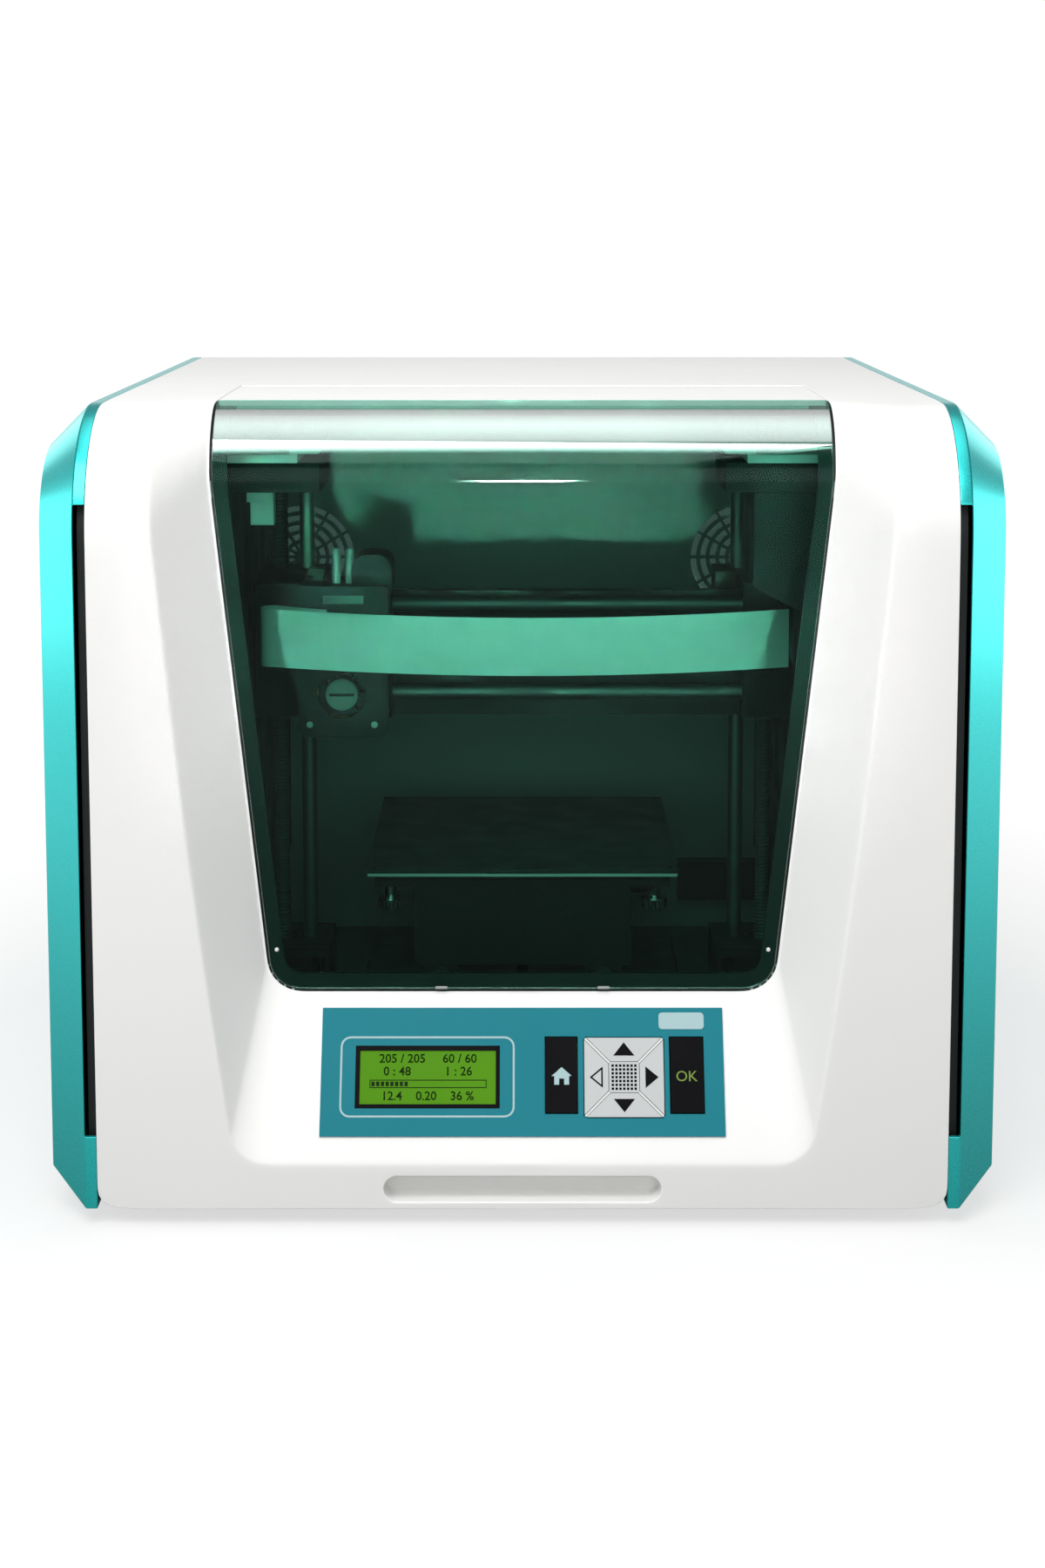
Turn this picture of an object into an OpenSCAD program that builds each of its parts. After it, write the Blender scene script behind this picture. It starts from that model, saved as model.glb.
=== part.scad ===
// Enclosed desktop filament printer.
// Millimetres. X to the right, Y to the back, Z up. The origin is under the
// middle of the body, on the surface that the feet stand on.

/* [Body] */
// Overall width across both side covers
body_w = 420; // [410:1:440]
// Overall depth, front face to rear panel
body_d = 430; // [426:1:440]
// Overall height, surface to top
body_h = 360; // [356:1:370]
// Height of the rubber feet
foot_h = 8; // [6:1:12]
// Wall of the moulded shells
wall = 3; // [2.5:0.1:3.5]
// Radius of the front top edge
front_roll = 55; // [50:1:58]
// Radius of the rear top edge
rear_roll = 30; // [20:1:35]
// Width of the dark slot between body and side cover
seam_w = 5.2; // [5:0.1:6]
// Bevel round each side cover
cover_bevel = 18; // [14:1:20]
// Height of the bevel along the bottom of each side cover
cover_bevel_low = 13; // [10:1:18]

/* [Door] */
// Depth of the window below the front face
window_back = 35; // [33:1:36]
// Radius of the window's top bend
window_roll = 35; // [33:1:37]
// Height of the window's lower edge
window_z = 96.5; // [92:0.5:97]
// Half width of the window at its lower edge
window_half_low = 114; // [110:1:115]
// Half width of the window at its top
window_half_top = 137.5; // [136:0.5:138]
// Thickness of the window sheet
window_t = 3; // [2:0.5:3]
// Distance of the hinge axis in front of the centre
hinge_front = 54; // [52:1:56]
// Gap all round the door
door_gap = 1; // [0.8:0.1:1.2]

/* [Console] */
// Height of the console's lower edge
console_z = 28.4; // [26:0.2:30]
// Half width of the coloured panel
panel_half = 89.7; // [88:0.1:92]
// Travel of the keys
key_travel = 0.8; // [0.5:0.1:1]

/* [Motion] */
// Height of the nozzle tip at rest
nozzle_z = 176; // [170:1:180]
// Middle of the print head across the machine at rest
head_x = -90; // [-90:0.5:-88]
// Height of the build plate's top
plate_z = 113; // [110:1:115]
// Middle of the build plate front to back at rest
plate_y = 44; // [40:1:46]
// Side of the square build plate
plate_side = 158; // [150:1:158]
// Diameter of all guide rods and lead screws
rod_d = 8; // [8]
// Running clearance of a rod in its bush, on the radius
run_gap = 0.05; // [0.02:0.01:0.1]

/* [Spool] */
// Outer diameter of the filament spool
spool_d = 150; // [120:1:156]
// Width of the filament spool
spool_w = 39; // [30:1:39]

/* [Hidden] */
$fn = 48;

// Colours
white = [0.95, 0.95, 0.94];
teal = [0.2, 0.68, 0.68];
console_teal = [0.18, 0.56, 0.61];
black = [0.09, 0.1, 0.1];
steel = [0.72, 0.74, 0.75];
brass = [0.75, 0.6, 0.3];
board_green = [0.1, 0.4, 0.2];

// Body planes
front_y = -body_d / 2;
rear_y = body_d / 2;
cover_half = body_w / 2;
shell_half = cover_half - 17.6 - seam_w;
seam_half = shell_half + seam_w;
window_y = front_y + window_back;
inner_half = shell_half - wall;
tray_top = foot_h + wall;
// Line where the front shell meets the top cover
split_y = -hinge_front + 6;
hinge_y = -hinge_front;
hinge_z = body_h - 5;
hinge_r = 4.5;
pin_r = 2;
// Rebate that the door closes on
rebate_t = 3;
rebate_in = 6;

// ---- side profile of the body, as a polygon in Y and Z ----
function arc(cy, cz, r, from, to, n) =
    [for (i = [0:n]) let (a = from + (to - from) * i / n)
        [cy + r * cos(a), cz + r * sin(a)]];

function profile_points(inset, inset_low) =
    concat(
        [[front_y + inset, foot_h + inset_low], [rear_y - inset, foot_h + inset_low]],
        arc(rear_y - rear_roll, body_h - rear_roll, rear_roll - inset, 0, 90, 8),
        arc(front_y + front_roll, body_h - front_roll, front_roll - inset, 90, 180, 18));

// Side profile spread from x0 to x1, cut back all round, and by inset_low along the bottom
module profile_slab(x0, x1, inset, inset_low = -1) {
    translate([x0, 0, 0])
        rotate([90, 0, 90])
            linear_extrude(x1 - x0)
                polygon(profile_points(inset, inset_low < 0 ? inset : inset_low));
}

module block(x0, x1, y0, y1, z0, z1) {
    translate([x0, y0, z0])
        cube([x1 - x0, y1 - y0, z1 - z0]);
}

// A copy on the left and one on the right
module both_sides() {
    children();
    mirror([1, 0, 0])
        children();
}

// Cylinder along X, Y or Z from a start point
module rod_x(x0, x1, y, z, r) {
    translate([x0, y, z])
        rotate([0, 90, 0])
            cylinder(r = r, h = x1 - x0);
}

module rod_y(x, y0, y1, z, r) {
    translate([x, y0, z])
        rotate([-90, 0, 0])
            cylinder(r = r, h = y1 - y0);
}

module rod_z(x, y, z0, z1, r) {
    translate([x, y, z0])
        cylinder(r = r, h = z1 - z0);
}

// ---- the two outlines that the front recess runs between ----
// Each station is [half width, y, z, outline normal x and z, depth normal y and z].
corner_steps = 6;
roll_steps = 9;
ridge_corner = 17;
window_corner = 14.5;
ridge_half_low = 129;
ridge_half = [140, 148.5, 155, 159.2];
ridge_z = [122, 195, 265, body_h - front_roll];
ridge_half_top = 163;
window_rise = (window_half_top - 0.7 - window_half_low)
    / (body_h - window_roll - window_z - window_corner);

function corner_stations(half, y, z, r) =
    [for (i = [0:corner_steps]) let (b = 90 * i / corner_steps)
        [half - r + r * sin(b), y, z + r - r * cos(b), sin(b), -cos(b), 1, 0]];

function roll_stations(half0, half1, cy, cz, r) =
    [for (i = [1:roll_steps]) let (a = 90 * i / roll_steps)
        [half0 + (half1 - half0) * i / roll_steps,
         cy - r * cos(a), cz + r * sin(a), 1, 0, cos(a), -sin(a)]];

// The ridge, on the outside of the body
ridge = concat(
    corner_stations(ridge_half_low, front_y, console_z, ridge_corner),
    [for (i = [0:3]) [ridge_half[i], front_y, ridge_z[i], 1, 0, 1, 0]],
    roll_stations(ridge_half[3], ridge_half_top,
        front_y + front_roll, body_h - front_roll, front_roll));

// The window's edge
window_mid_z = [150, 210, 270, body_h - window_roll];
window = concat(
    corner_stations(window_half_low, window_y, window_z, window_corner),
    [for (z = window_mid_z)
        [window_half_low + window_rise * (z - window_z - window_corner),
         window_y, z, 1, 0, 1, 0]],
    roll_stations(window_half_top - 0.7, window_half_top,
        window_y + window_roll, body_h - window_roll, window_roll));

// A station's point, moved out along the outline and in along the depth
function at(s, out, depth) =
    [s[0] + out * s[3], s[1] + depth * s[5], s[2] + out * s[4] + depth * s[6]];

// Solid between two lists of right-hand points and their mirror images
module loft(front, back) {
    n = len(front);
    points = concat(
        front, back,
        [for (p = front) [-p[0], p[1], p[2]]],
        [for (p = back) [-p[0], p[1], p[2]]]);
    faces = concat(
        [for (i = [0:n - 2]) [i, 2 * n + i, 2 * n + i + 1, i + 1]],
        [for (i = [0:n - 2]) [n + i, n + i + 1, 3 * n + i + 1, 3 * n + i]],
        [for (i = [0:n - 2]) [i, i + 1, n + i + 1]],
        [for (i = [0:n - 2]) [i, n + i + 1, n + i]],
        [for (i = [0:n - 2]) [2 * n + i, 3 * n + i + 1, 2 * n + i + 1]],
        [for (i = [0:n - 2]) [2 * n + i, 3 * n + i, 3 * n + i + 1]],
        [[0, n, 3 * n, 2 * n]],
        [[n - 1, 3 * n - 1, 4 * n - 1, 2 * n - 1]]);
    polyhedron(points, faces, convexity = 6);
}

// Curved sheet that follows the window, between two depths
module window_sheet(out, depth0, depth1) {
    loft([for (s = window) at(s, out, depth0)],
         [for (s = window) at(s, out, depth1)]);
}

// The recess from the ridge to the window. skin thickens it for the shell's wall.
module recess(skin) {
    reach = 1.12;
    inner = [for (s = window) at(s, 2 + skin, skin)];
    outer = [for (s = ridge) at(s, skin, 0)];
    // Above the front face the cut also stands 0.5 mm clear of the roll
    lift = [for (s = ridge) s[2] > ridge_z[3] ? 0.5 : 0];
    loft([for (i = [0:len(inner) - 1])
             inner[i] + (outer[i] - inner[i]) * reach
                 - [0, ridge[i][5], ridge[i][6]] * lift[i]],
         inner);
}

// ---- body ----
grip_half = 61;
grip_z = 17;
grip_h = 11.5;
grip_deep = 12;

module grip_slot(grow, y_start, y_end) {
    translate([0, y_start, grip_z])
        rotate([-90, 0, 0])
            linear_extrude(y_end - y_start)
                hull_stadium(grip_half + grow, grip_h / 2 + grow);
}

// Stadium outline along X
module hull_stadium(half, r) {
    square([2 * (half - r), 2 * r], center = true);
    for (s = [-1, 1])
        translate([s * (half - r), 0])
            circle(r);
}

// Frame of the sloping console: x across, y up the slope, z out of it
console_top_z = window_z - 2;
console_angle = atan2(console_top_z - console_z, window_back);

module on_console() {
    translate([0, front_y, console_z])
        rotate([console_angle, 0, 0])
            children();
}

module front_shell() color(white) {
    rail_in = window_half_top - rebate_in;
    difference() {
        union() {
            difference() {
                intersection() {
                    profile_slab(-shell_half, shell_half, 0);
                    block(-300, 300, front_y - 1, split_y, 0, body_h + 1);
                }
                profile_slab(-inner_half, inner_half, wall);
                block(-inner_half, inner_half, front_y + 15, 0, 0, tray_top + 1);
            }
            intersection() {
                recess(wall);
                profile_slab(-inner_half - 1, inner_half + 1, 0);
            }
            window_sheet(door_gap + wall, window_t + 0.2, window_t + 0.2 + rebate_t);
            // Rails that the door's top strip closes on
            both_sides()
                block(rail_in, window_half_top + 4, window_y + window_roll - 4,
                    hinge_y - hinge_r - 0.5,
                    body_h - wall - rebate_t - 0.4, body_h - wall - 0.2);
            grip_slot(2.5, front_y + 0.5, front_y + grip_deep + 2.5);
            block(-inner_half, inner_half, front_y + 1, front_y + 15, foot_h, tray_top);
        }
        recess(0);
        window_sheet(door_gap, -6, window_t + 0.2);
        window_sheet(-rebate_in, 2, window_t + rebate_t + 4);
        // Room for the door's top strip, and the way through beneath it
        block(-window_half_top - door_gap, window_half_top + door_gap,
            window_y + window_roll - 1, 0, body_h - wall - 0.2, body_h + 1);
        block(-rail_in, rail_in, window_y + window_roll - 5, 0,
            body_h - wall - rebate_t - 1, body_h + 1);
        grip_slot(0, front_y - 1, front_y + grip_deep);
        on_console()
            block(-84, 85, 16, 61, -wall - 4, 2);
        // Neck of the spool holder
        rod_x(-shell_half - 1, -inner_half + 1, spool_y, spool_z, holder_neck_r);
    }
}

module top_cover() color(white) {
    flange_z = body_h - rear_roll;
    difference() {
        intersection() {
            profile_slab(-shell_half, shell_half, 0);
            block(-300, 300, split_y, rear_y + 1, flange_z, body_h + 1);
        }
        profile_slab(-inner_half, inner_half, wall);
    }
}

module base_tray() color(black) {
    block(-inner_half, inner_half, front_y + 15, rear_y - wall, foot_h, tray_top);
    both_sides()
        block(inner_half, shell_half, split_y, rear_y - wall, foot_h, 60);
    // Ribs that stiffen the floor
    for (x = [-90, 90])
        block(x - 1.5, x + 1.5, front_y + 50, rear_y - 45, tray_top, tray_top + 6);
}

foot_x = 150;
foot_y = 175;

module rubber_feet() color(black) {
    for (x = [-foot_x, foot_x], y = [-foot_y, foot_y])
        translate([x, y, 0]) {
            cylinder(r = 11, h = foot_h - 2);
            translate([0, 0, foot_h - 2])
                cylinder(r = 8, h = 2);
        }
}

// ---- rear panel with two round vents ----
vent_x = 132;
vent_z = 238.5;
vent_r = 31;
vent_slot = 3.3;
vent_pitch = 5.7;
vent_rings = 5;
port_x = 118;
port_z = 42;
switch_x = 70;
rocker_y = rear_y - 3.8;
rocker_tilt = 9;
rocker_pin_r = 1.2;
screw_x = [-176, 176];
screw_z = [24, 170, 318];
screw_sink = 1.8;

module vent_pattern() {
    difference() {
        for (i = [0:vent_rings - 1])
            difference() {
                circle(vent_r - i * vent_pitch);
                circle(vent_r - i * vent_pitch - vent_slot);
            }
        for (a = [0:30:150])
            rotate(a)
                square([2 * vent_r + 2, 1.8], center = true);
    }
}

module rear_panel() color(white) {
    difference() {
        block(-shell_half, shell_half, rear_y - wall, rear_y, foot_h, body_h - rear_roll);
        for (s = [-1, 1])
            translate([s * vent_x, rear_y + 1, vent_z])
                rotate([90, 0, 0])
                    linear_extrude(wall + 2)
                        vent_pattern();
        block(port_x - 24, port_x + 24, rear_y - 4, rear_y + 1, port_z - 12, port_z + 12);
        block(switch_x - 11, switch_x + 11, rear_y - 4, rear_y + 1, port_z - 7, port_z + 7);
        for (x = screw_x, z = screw_z)
            rod_y(x, rear_y - screw_sink, rear_y + 1, z, 3.6);
    }
}

// ---- side covers and frames ----
module side_cover() {
    lip = 2.5;
    difference() {
        hull() {
            profile_slab(shell_half, seam_half, 0);
            profile_slab(cover_half - 0.1, cover_half, cover_bevel, cover_bevel_low);
        }
        hull() {
            profile_slab(shell_half - 1, seam_half, lip);
            profile_slab(cover_half - 3, cover_half - lip, cover_bevel + 1, cover_bevel_low + 1);
        }
        // The dark slot is open along the front
        block(shell_half - 1, seam_half, front_y - 1, front_y + 12, 41, body_h - 40);
    }
}

module right_cover() color(teal)
    side_cover();

module left_cover() color(teal)
    mirror([1, 0, 0])
        side_cover();

module side_frames() color(black) {
    both_sides()
        difference() {
            profile_slab(shell_half + 0.2, seam_half - 0.5, 8);
            // Lightening holes behind the covers
            for (y = [40, 120])
                rod_x(shell_half - 2, seam_half + 2, y, 120, 18);
        }
}

liner_half = 140.5;
liner_t = 2;
liner_front = window_y + 12;
liner_rear = 36;
liner_top = body_h - 30;
liner_step = 62;

module chamber_liners() color(black) {
    both_sides() {
        block(liner_half, liner_half + liner_t, liner_front, liner_rear, tray_top, liner_top);
        // Above the lift motors they run on to the rear panel
        block(liner_half, liner_half + liner_t, liner_rear - 1, rear_y - wall, liner_step,
            liner_top);
        // Flanges that reach out to the side frame
        for (z = [tray_top + 40, liner_top - 12])
            block(liner_half + liner_t, inner_half, liner_rear - 12, liner_rear, z, z + 3);
    }
}

// Ledges behind the top of the window
ledge_front = -124;
ledge_rear = -62;
ledge_z = 329;

module front_ledges() color(white) {
    both_sides() {
        block(104, liner_half, ledge_front, ledge_rear, ledge_z, ledge_z + 4);
        block(94, 104.5, ledge_front + 2, ledge_rear, ledge_z + 4, ledge_z + 8);
        block(104, 108, ledge_front + 2, ledge_rear, ledge_z + 3, ledge_z + 8);
    }
}

// The left block is short, the right one carries the cable duct down
module cable_housings() color(black) {
    low = ledge_z - 14;
    block(-liner_half, -94, ledge_front + 3, ledge_rear, low, ledge_z);
    block(94, liner_half, ledge_front + 3, ledge_rear, low, ledge_z);
    translate([0, ledge_rear, 0])
        rotate([90, 0, 0])
            linear_extrude(ledge_rear - ledge_front - 4)
                polygon([[107.5, low], [107.5, 271.6], [109.5, 269.4],
                         [137, 255], [liner_half, 254], [liner_half, low]]);
}

module filament_guide() color(steel) {
    y = -104;
    difference() {
        union() {
            block(-129.5, -117, y - 4, y + 8, 309, ledge_z - 14);
            block(-128, -117, y - 2, y + 8, 298, 309);
        }
        rod_z(-122.5, y + 3, 290, 320, 1.5);
    }
}

// ---- guide rods, motors and their mounts ----
rod_r = rod_d / 2;
z_rod_x = 116;
z_screw_x = 131;
z_axis_y = 62;
z_motor_h = 34;
motor_side = 42;
z_plate_z = tray_top + z_motor_h;
rod_mount_z = 337;
y_rod_x = 42;
y_rod_z = 54;
y_front_mount = -166;
y_rear_mount = 140;
mount_t = 12;

module rod_mounts() color(black) {
    // Top clamps under the cover
    both_sides()
        difference() {
            block(100, liner_half - 1, z_axis_y - 16, z_axis_y + 16, rod_mount_z, body_h - wall);
            rod_z(z_rod_x, z_axis_y, rod_mount_z - 1, body_h - 8, rod_r);
            rod_z(z_screw_x, z_axis_y, rod_mount_z - 1, body_h - 8, rod_r + run_gap);
        }
    // Plates over the lift motors
    both_sides()
        difference() {
            union() {
                block(104, 156, z_axis_y - 25, z_axis_y + 25, z_plate_z, z_plate_z + 5);
                for (x = [104, 153])
                    block(x, x + 3, z_axis_y - 25, z_axis_y + 25, tray_top, z_plate_z);
            }
            rod_z(z_rod_x, z_axis_y, z_plate_z + 1, z_plate_z + 6, rod_r);
            rod_z(z_screw_x, z_axis_y, z_plate_z - 1, z_plate_z + 6, 9);
        }
    // Blocks at both ends of the bed rods
    for (x = [-y_rod_x, y_rod_x], y = [y_front_mount, y_rear_mount])
        difference() {
            block(x - 9, x + 9, y, y + mount_t, tray_top, y_rod_z + 9);
            rod_y(x, y - 1, y + mount_t + 1, y_rod_z, rod_r);
        }
    // Fork of the bed belt's idler
    difference() {
        block(-10, 10, y_front_mount - 2, y_front_mount + 12, tray_top, y_belt_z + 10);
        block(-5, 5, y_front_mount - 3, y_front_mount + 20, tray_top + 5, y_belt_z + 11);
    }
    rod_x(-8, 8, y_idler_y, y_belt_z, pin_r);
}

module z_rods() color(steel)
    for (s = [-1, 1])
        rod_z(s * z_rod_x, z_axis_y, z_plate_z + 1, body_h - 9, rod_r);

// Square stepper with cut corners, axis along +Z, flange at z = 0
module stepper(side, length, shaft_hole) {
    cut = side * 0.1;
    difference() {
        translate([0, 0, -length])
            linear_extrude(length)
                polygon([for (q = [0:3], p = [[side / 2, side / 2 - cut], [side / 2 - cut, side / 2]])
                    [p[0] * cos(90 * q) - p[1] * sin(90 * q),
                     p[0] * sin(90 * q) + p[1] * cos(90 * q)]]);
        translate([0, 0, -shaft_hole])
            cylinder(r = 2.6, h = shaft_hole + 1);
        // Groove between the end caps and the laminations
        for (z = [-length * 0.25, -length * 0.8])
            translate([0, 0, z])
                difference() {
                    translate([-side, -side, 0])
                        cube([2 * side, 2 * side, 1]);
                    translate([-side / 2 + 0.6, -side / 2 + 0.6, -1])
                        cube([side - 1.2, side - 1.2, 3]);
                }
    }
}

module z_motors() color(black)
    for (s = [-1, 1])
        translate([s * z_screw_x, z_axis_y, z_plate_z])
            stepper(motor_side, z_motor_h, 20);

// Lead screw with its coupler, turning about Z
module lead_screw() {
    difference() {
        union() {
            rod_z(0, 0, z_plate_z + 20, body_h - 9, rod_r);
            rod_z(0, 0, z_plate_z + 3, z_plate_z + 26, 8);
            rod_z(0, 0, z_plate_z - 12, z_plate_z + 4, 2.55);
        }
        // Thread grooves
        for (i = [0:2])
            translate([0, 0, body_h - 22 + 4 * i])
                difference() {
                    cylinder(r = rod_r + 1, h = 1);
                    translate([0, 0, -1])
                        cylinder(r = rod_r - 0.5, h = 3);
                }
    }
}

module z_screw_left() color(steel)
    translate([-z_screw_x, z_axis_y, 0])
        lead_screw();

module z_screw_right() color(steel)
    translate([z_screw_x, z_axis_y, 0])
        lead_screw();

// ---- bed drive ----
pulley_r = 6.366;
y_belt_z = 38;
y_motor_y = 176;
y_idler_y = y_front_mount + 4;

// Closed belt between two pulleys, in the XY plane, centred on z = 0
module belt_loop(a, b, width) {
    inner = pulley_r;
    outer = pulley_r + 1.3;
    translate([0, 0, -width / 2])
        linear_extrude(width)
            difference() {
                union() {
                    translate([a, -outer])
                        square([b - a, 2 * outer]);
                    for (x = [a, b])
                        translate([x, 0])
                            circle(outer);
                }
                translate([a, -inner])
                    square([b - a, 2 * inner]);
                for (x = [a, b])
                    translate([x, 0])
                        circle(inner);
            }
}

// Toothed pulley along Z, centred on z = 0, with flanges
module pulley(shaft_r, bore_r) {
    difference() {
        union() {
            translate([0, 0, -4])
                cylinder(r = pulley_r - 0.3, h = 8);
            for (z = [-5, 4])
                translate([0, 0, z])
                    cylinder(r = pulley_r + 1.8, h = 1);
        }
        for (a = [0:36:324])
            rotate(a)
                translate([pulley_r - 0.3, 0, -3.9])
                    cylinder(r = 0.55, h = 7.8, $fn = 16);
        if (bore_r > 0)
            translate([0, 0, -6])
                cylinder(r = bore_r, h = 12);
    }
    if (shaft_r > 0)
        translate([0, 0, -6])
            cylinder(r = shaft_r, h = 12);
}

module y_motor() color(black)
    translate([-8, y_motor_y, y_belt_z])
        rotate([0, 90, 0])
            stepper(motor_side, 34, 16);

module y_pulley() color(steel)
    translate([0, y_motor_y, y_belt_z])
        rotate([0, 90, 0]) {
            pulley(2.5, 0);
            translate([0, 0, -20])
                cylinder(r = 2.55, h = 16);
        }

module y_idler() color(steel)
    translate([0, y_idler_y, y_belt_z])
        rotate([0, 90, 0])
            pulley(0, pin_r + run_gap);

module y_belt() color(black)
    translate([0, 0, y_belt_z])
        rotate([0, 90, 0])
            rotate(90)
                belt_loop(y_idler_y, y_motor_y, 6);

module y_rods() color(steel)
    for (x = [-y_rod_x, y_rod_x])
        rod_y(x, y_front_mount, y_rear_mount + mount_t, y_rod_z, rod_r);

// ---- bed ----
carriage_half = 56;
carriage_front = plate_y - 66;
carriage_rear = plate_y + 66;
deck_z = plate_z - 9;

module bed_plate() color(black) {
    difference() {
        translate([0, plate_y, plate_z - 3])
            linear_extrude(3)
                difference() {
                    square([plate_side, plate_side], center = true);
                    for (x = [-1, 1], y = [-1, 1])
                        translate([x * (plate_side / 2 - 4), y * (plate_side / 2 - 4)])
                            circle(1.6);
                }
    }
    // Grip tab at the front
    block(-18, 18, plate_y - plate_side / 2 - 5, plate_y - plate_side / 2 + 1,
        plate_z - 3, plate_z - 1);
}

module bed_carriage() color(black) {
    difference() {
        union() {
            // Deck, skirts and bush housings
            block(-carriage_half, carriage_half, carriage_front, carriage_rear, deck_z - 4, deck_z);
            for (y = [carriage_front, carriage_rear - 3])
                block(-carriage_half, carriage_half, y, y + 3, y_rod_z + 5, deck_z);
            for (x = [-1, 1])
                block(x * y_rod_x - 9, x * y_rod_x + 9, carriage_front, carriage_rear,
                    y_rod_z - 8, y_rod_z + 12);
            for (x = [-1, 1])
                block(x * y_rod_x - 2, x * y_rod_x + 2, carriage_front, carriage_rear,
                    y_rod_z + 8, deck_z);
            // Arms out to the levelling screws
            for (y = [plate_y - 66, plate_y + 54])
                block(-plate_side / 2 + 3, plate_side / 2 - 3, y, y + 12, deck_z - 4, deck_z);
            // Belt clamp
            block(-7, 7, plate_y - 10, plate_y + 10, y_belt_z + 10, deck_z);
        }
        for (x = [-y_rod_x, y_rod_x])
            rod_y(x, carriage_front - 1, carriage_rear + 1, y_rod_z, rod_r + run_gap);
    }
}

module bed_springs() color(steel)
    for (x = [-68, 68], y = [plate_y - 60, plate_y + 60]) {
        translate([x, y, deck_z])
            difference() {
                cylinder(r = 4.5, h = 6);
                translate([0, 0, 1])
                    cylinder(r = 3.2, h = 4);
            }
        translate([x, y, deck_z - 16])
            cylinder(r = 7, h = 6);
        translate([x, y, deck_z - 10])
            cylinder(r = 3, h = 6);
    }

// ---- gantry ----
x_rod_y = 9;
x_rod_z = [196, 242];
belt_z = 219;
bracket_in = 114;
bracket_out = 138;
bracket_z = [184, 254];
x_pulley_x = 120;
x_motor_side = 35;
nut_r = 5.1;

module gantry_bracket(bore_front) {
    difference() {
        union() {
            block(bracket_in, bracket_out, 1, 17.5, bracket_z[0], bracket_z[1]);
            block(bracket_in, bracket_out, 17, 46.5, bracket_z[0], 200);
            block(bracket_in, bracket_out, 17, 46.5, 238.5, bracket_z[1]);
            block(103, bracket_out, 46, 76, bracket_z[0], bracket_z[1]);
        }
        // Pulley pocket
        block(bracket_in - 1, 131, -1, 30, belt_z - 11, belt_z + 11);
        for (z = x_rod_z)
            rod_x(bracket_in - 1, bracket_out - 3, x_rod_y, z, rod_r);
        rod_z(z_rod_x, z_axis_y, bracket_z[0] - 1, bracket_z[1] + 1, rod_r + run_gap);
        rod_z(z_screw_x, z_axis_y, bracket_z[0] - 1, bracket_z[1] + 1, nut_r);
    }
}

module left_bracket() color(black) {
    mirror([1, 0, 0])
        gantry_bracket();
    // Pin of the belt's idler, held by a web in front
    block(-131, -bracket_in, 1, 3, belt_z - 11, belt_z + 11);
    rod_y(-x_pulley_x, 2, 17, belt_z, pin_r);
}

module right_bracket() color(black) {
    gantry_bracket();
    // Arm that clamps the fixed end of the flat cable
    difference() {
        block(132, bracket_out, -54, 2, 222, 250);
        block(130, 134, -55, -10, 220, 252);
    }
}

module z_nuts() color(brass)
    for (s = [-1, 1])
        translate([s * z_screw_x, z_axis_y, 0])
            difference() {
                union() {
                    rod_z(0, 0, bracket_z[0] - 3, bracket_z[0], 6.9);
                    rod_z(0, 0, bracket_z[0] - 1, bracket_z[0] + 16, nut_r);
                }
                rod_z(0, 0, bracket_z[0] - 4, bracket_z[0] + 17, rod_r + run_gap);
            }

module x_rods() color(steel)
    for (z = x_rod_z)
        rod_x(-bracket_out + 3, bracket_out - 3, x_rod_y, z, rod_r);

module x_beam() color(black) {
    block(-bracket_in, bracket_in, 18, 20, 182, 248);
    block(-bracket_in, bracket_in, 20, 26, 182, 184);
    block(-bracket_in + 14, bracket_in - 14, 20, 26, 246, 248);
}

module x_motor() color(black)
    translate([x_pulley_x, 20.4, belt_z])
        rotate([90, 0, 0])
            stepper(x_motor_side, 25, 6);

module x_pulley() color(steel)
    translate([x_pulley_x, x_rod_y, belt_z])
        rotate([-90, 0, 0]) {
            pulley(2.5, 0);
            translate([0, 0, 5])
                cylinder(r = 2.55, h = 11);
        }

module x_idler() color(steel)
    translate([-x_pulley_x, x_rod_y, belt_z])
        rotate([-90, 0, 0])
            pulley(0, pin_r + run_gap);

module x_belt() color(black)
    translate([0, x_rod_y, belt_z])
        rotate([90, 0, 0])
            belt_loop(-x_pulley_x, x_pulley_x, 6);

// Flat cable that loops to the print head
ribbon_z = 220;
ribbon_h = 29;
ribbon_t = 0.8;
loop_x = -124;
loop_r = 6.5;
ribbon_y = -44;

module ribbon_cable() color(console_teal)
    translate([0, 0, ribbon_z])
        linear_extrude(ribbon_h) {
            translate([loop_x, ribbon_y - loop_r])
                square([132 - loop_x, ribbon_t]);
            translate([loop_x, ribbon_y + loop_r - ribbon_t])
                square([26, ribbon_t]);
            intersection() {
                translate([loop_x, ribbon_y])
                    difference() {
                        circle(loop_r);
                        circle(loop_r - ribbon_t);
                    }
                translate([loop_x - 20, ribbon_y - 20])
                    square([20, 40]);
            }
        }

// ---- print head ----
head_l = head_x - 23;
head_r = head_x + 22.6;
head_front = -35;
head_low = 181;
hot_y = -10;
fan_x = head_x - 1;
fan_z = 203;
fan_r = 12.5;
gear_x = head_x + 6;
gear_z = 238;
lever_x = head_x - 14;
lever_z = 226;
motor14 = 28;

module carriage_block() color(black) {
    difference() {
        block(head_l, head_r, 0.4, 17, bracket_z[0], bracket_z[1]);
        for (z = x_rod_z)
            rod_x(head_l - 1, head_r + 1, x_rod_y, z, rod_r + run_gap);
        block(head_l - 1, head_r + 1, 3.4, 14.6, belt_z - 10, belt_z + 10);
    }
}

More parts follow.
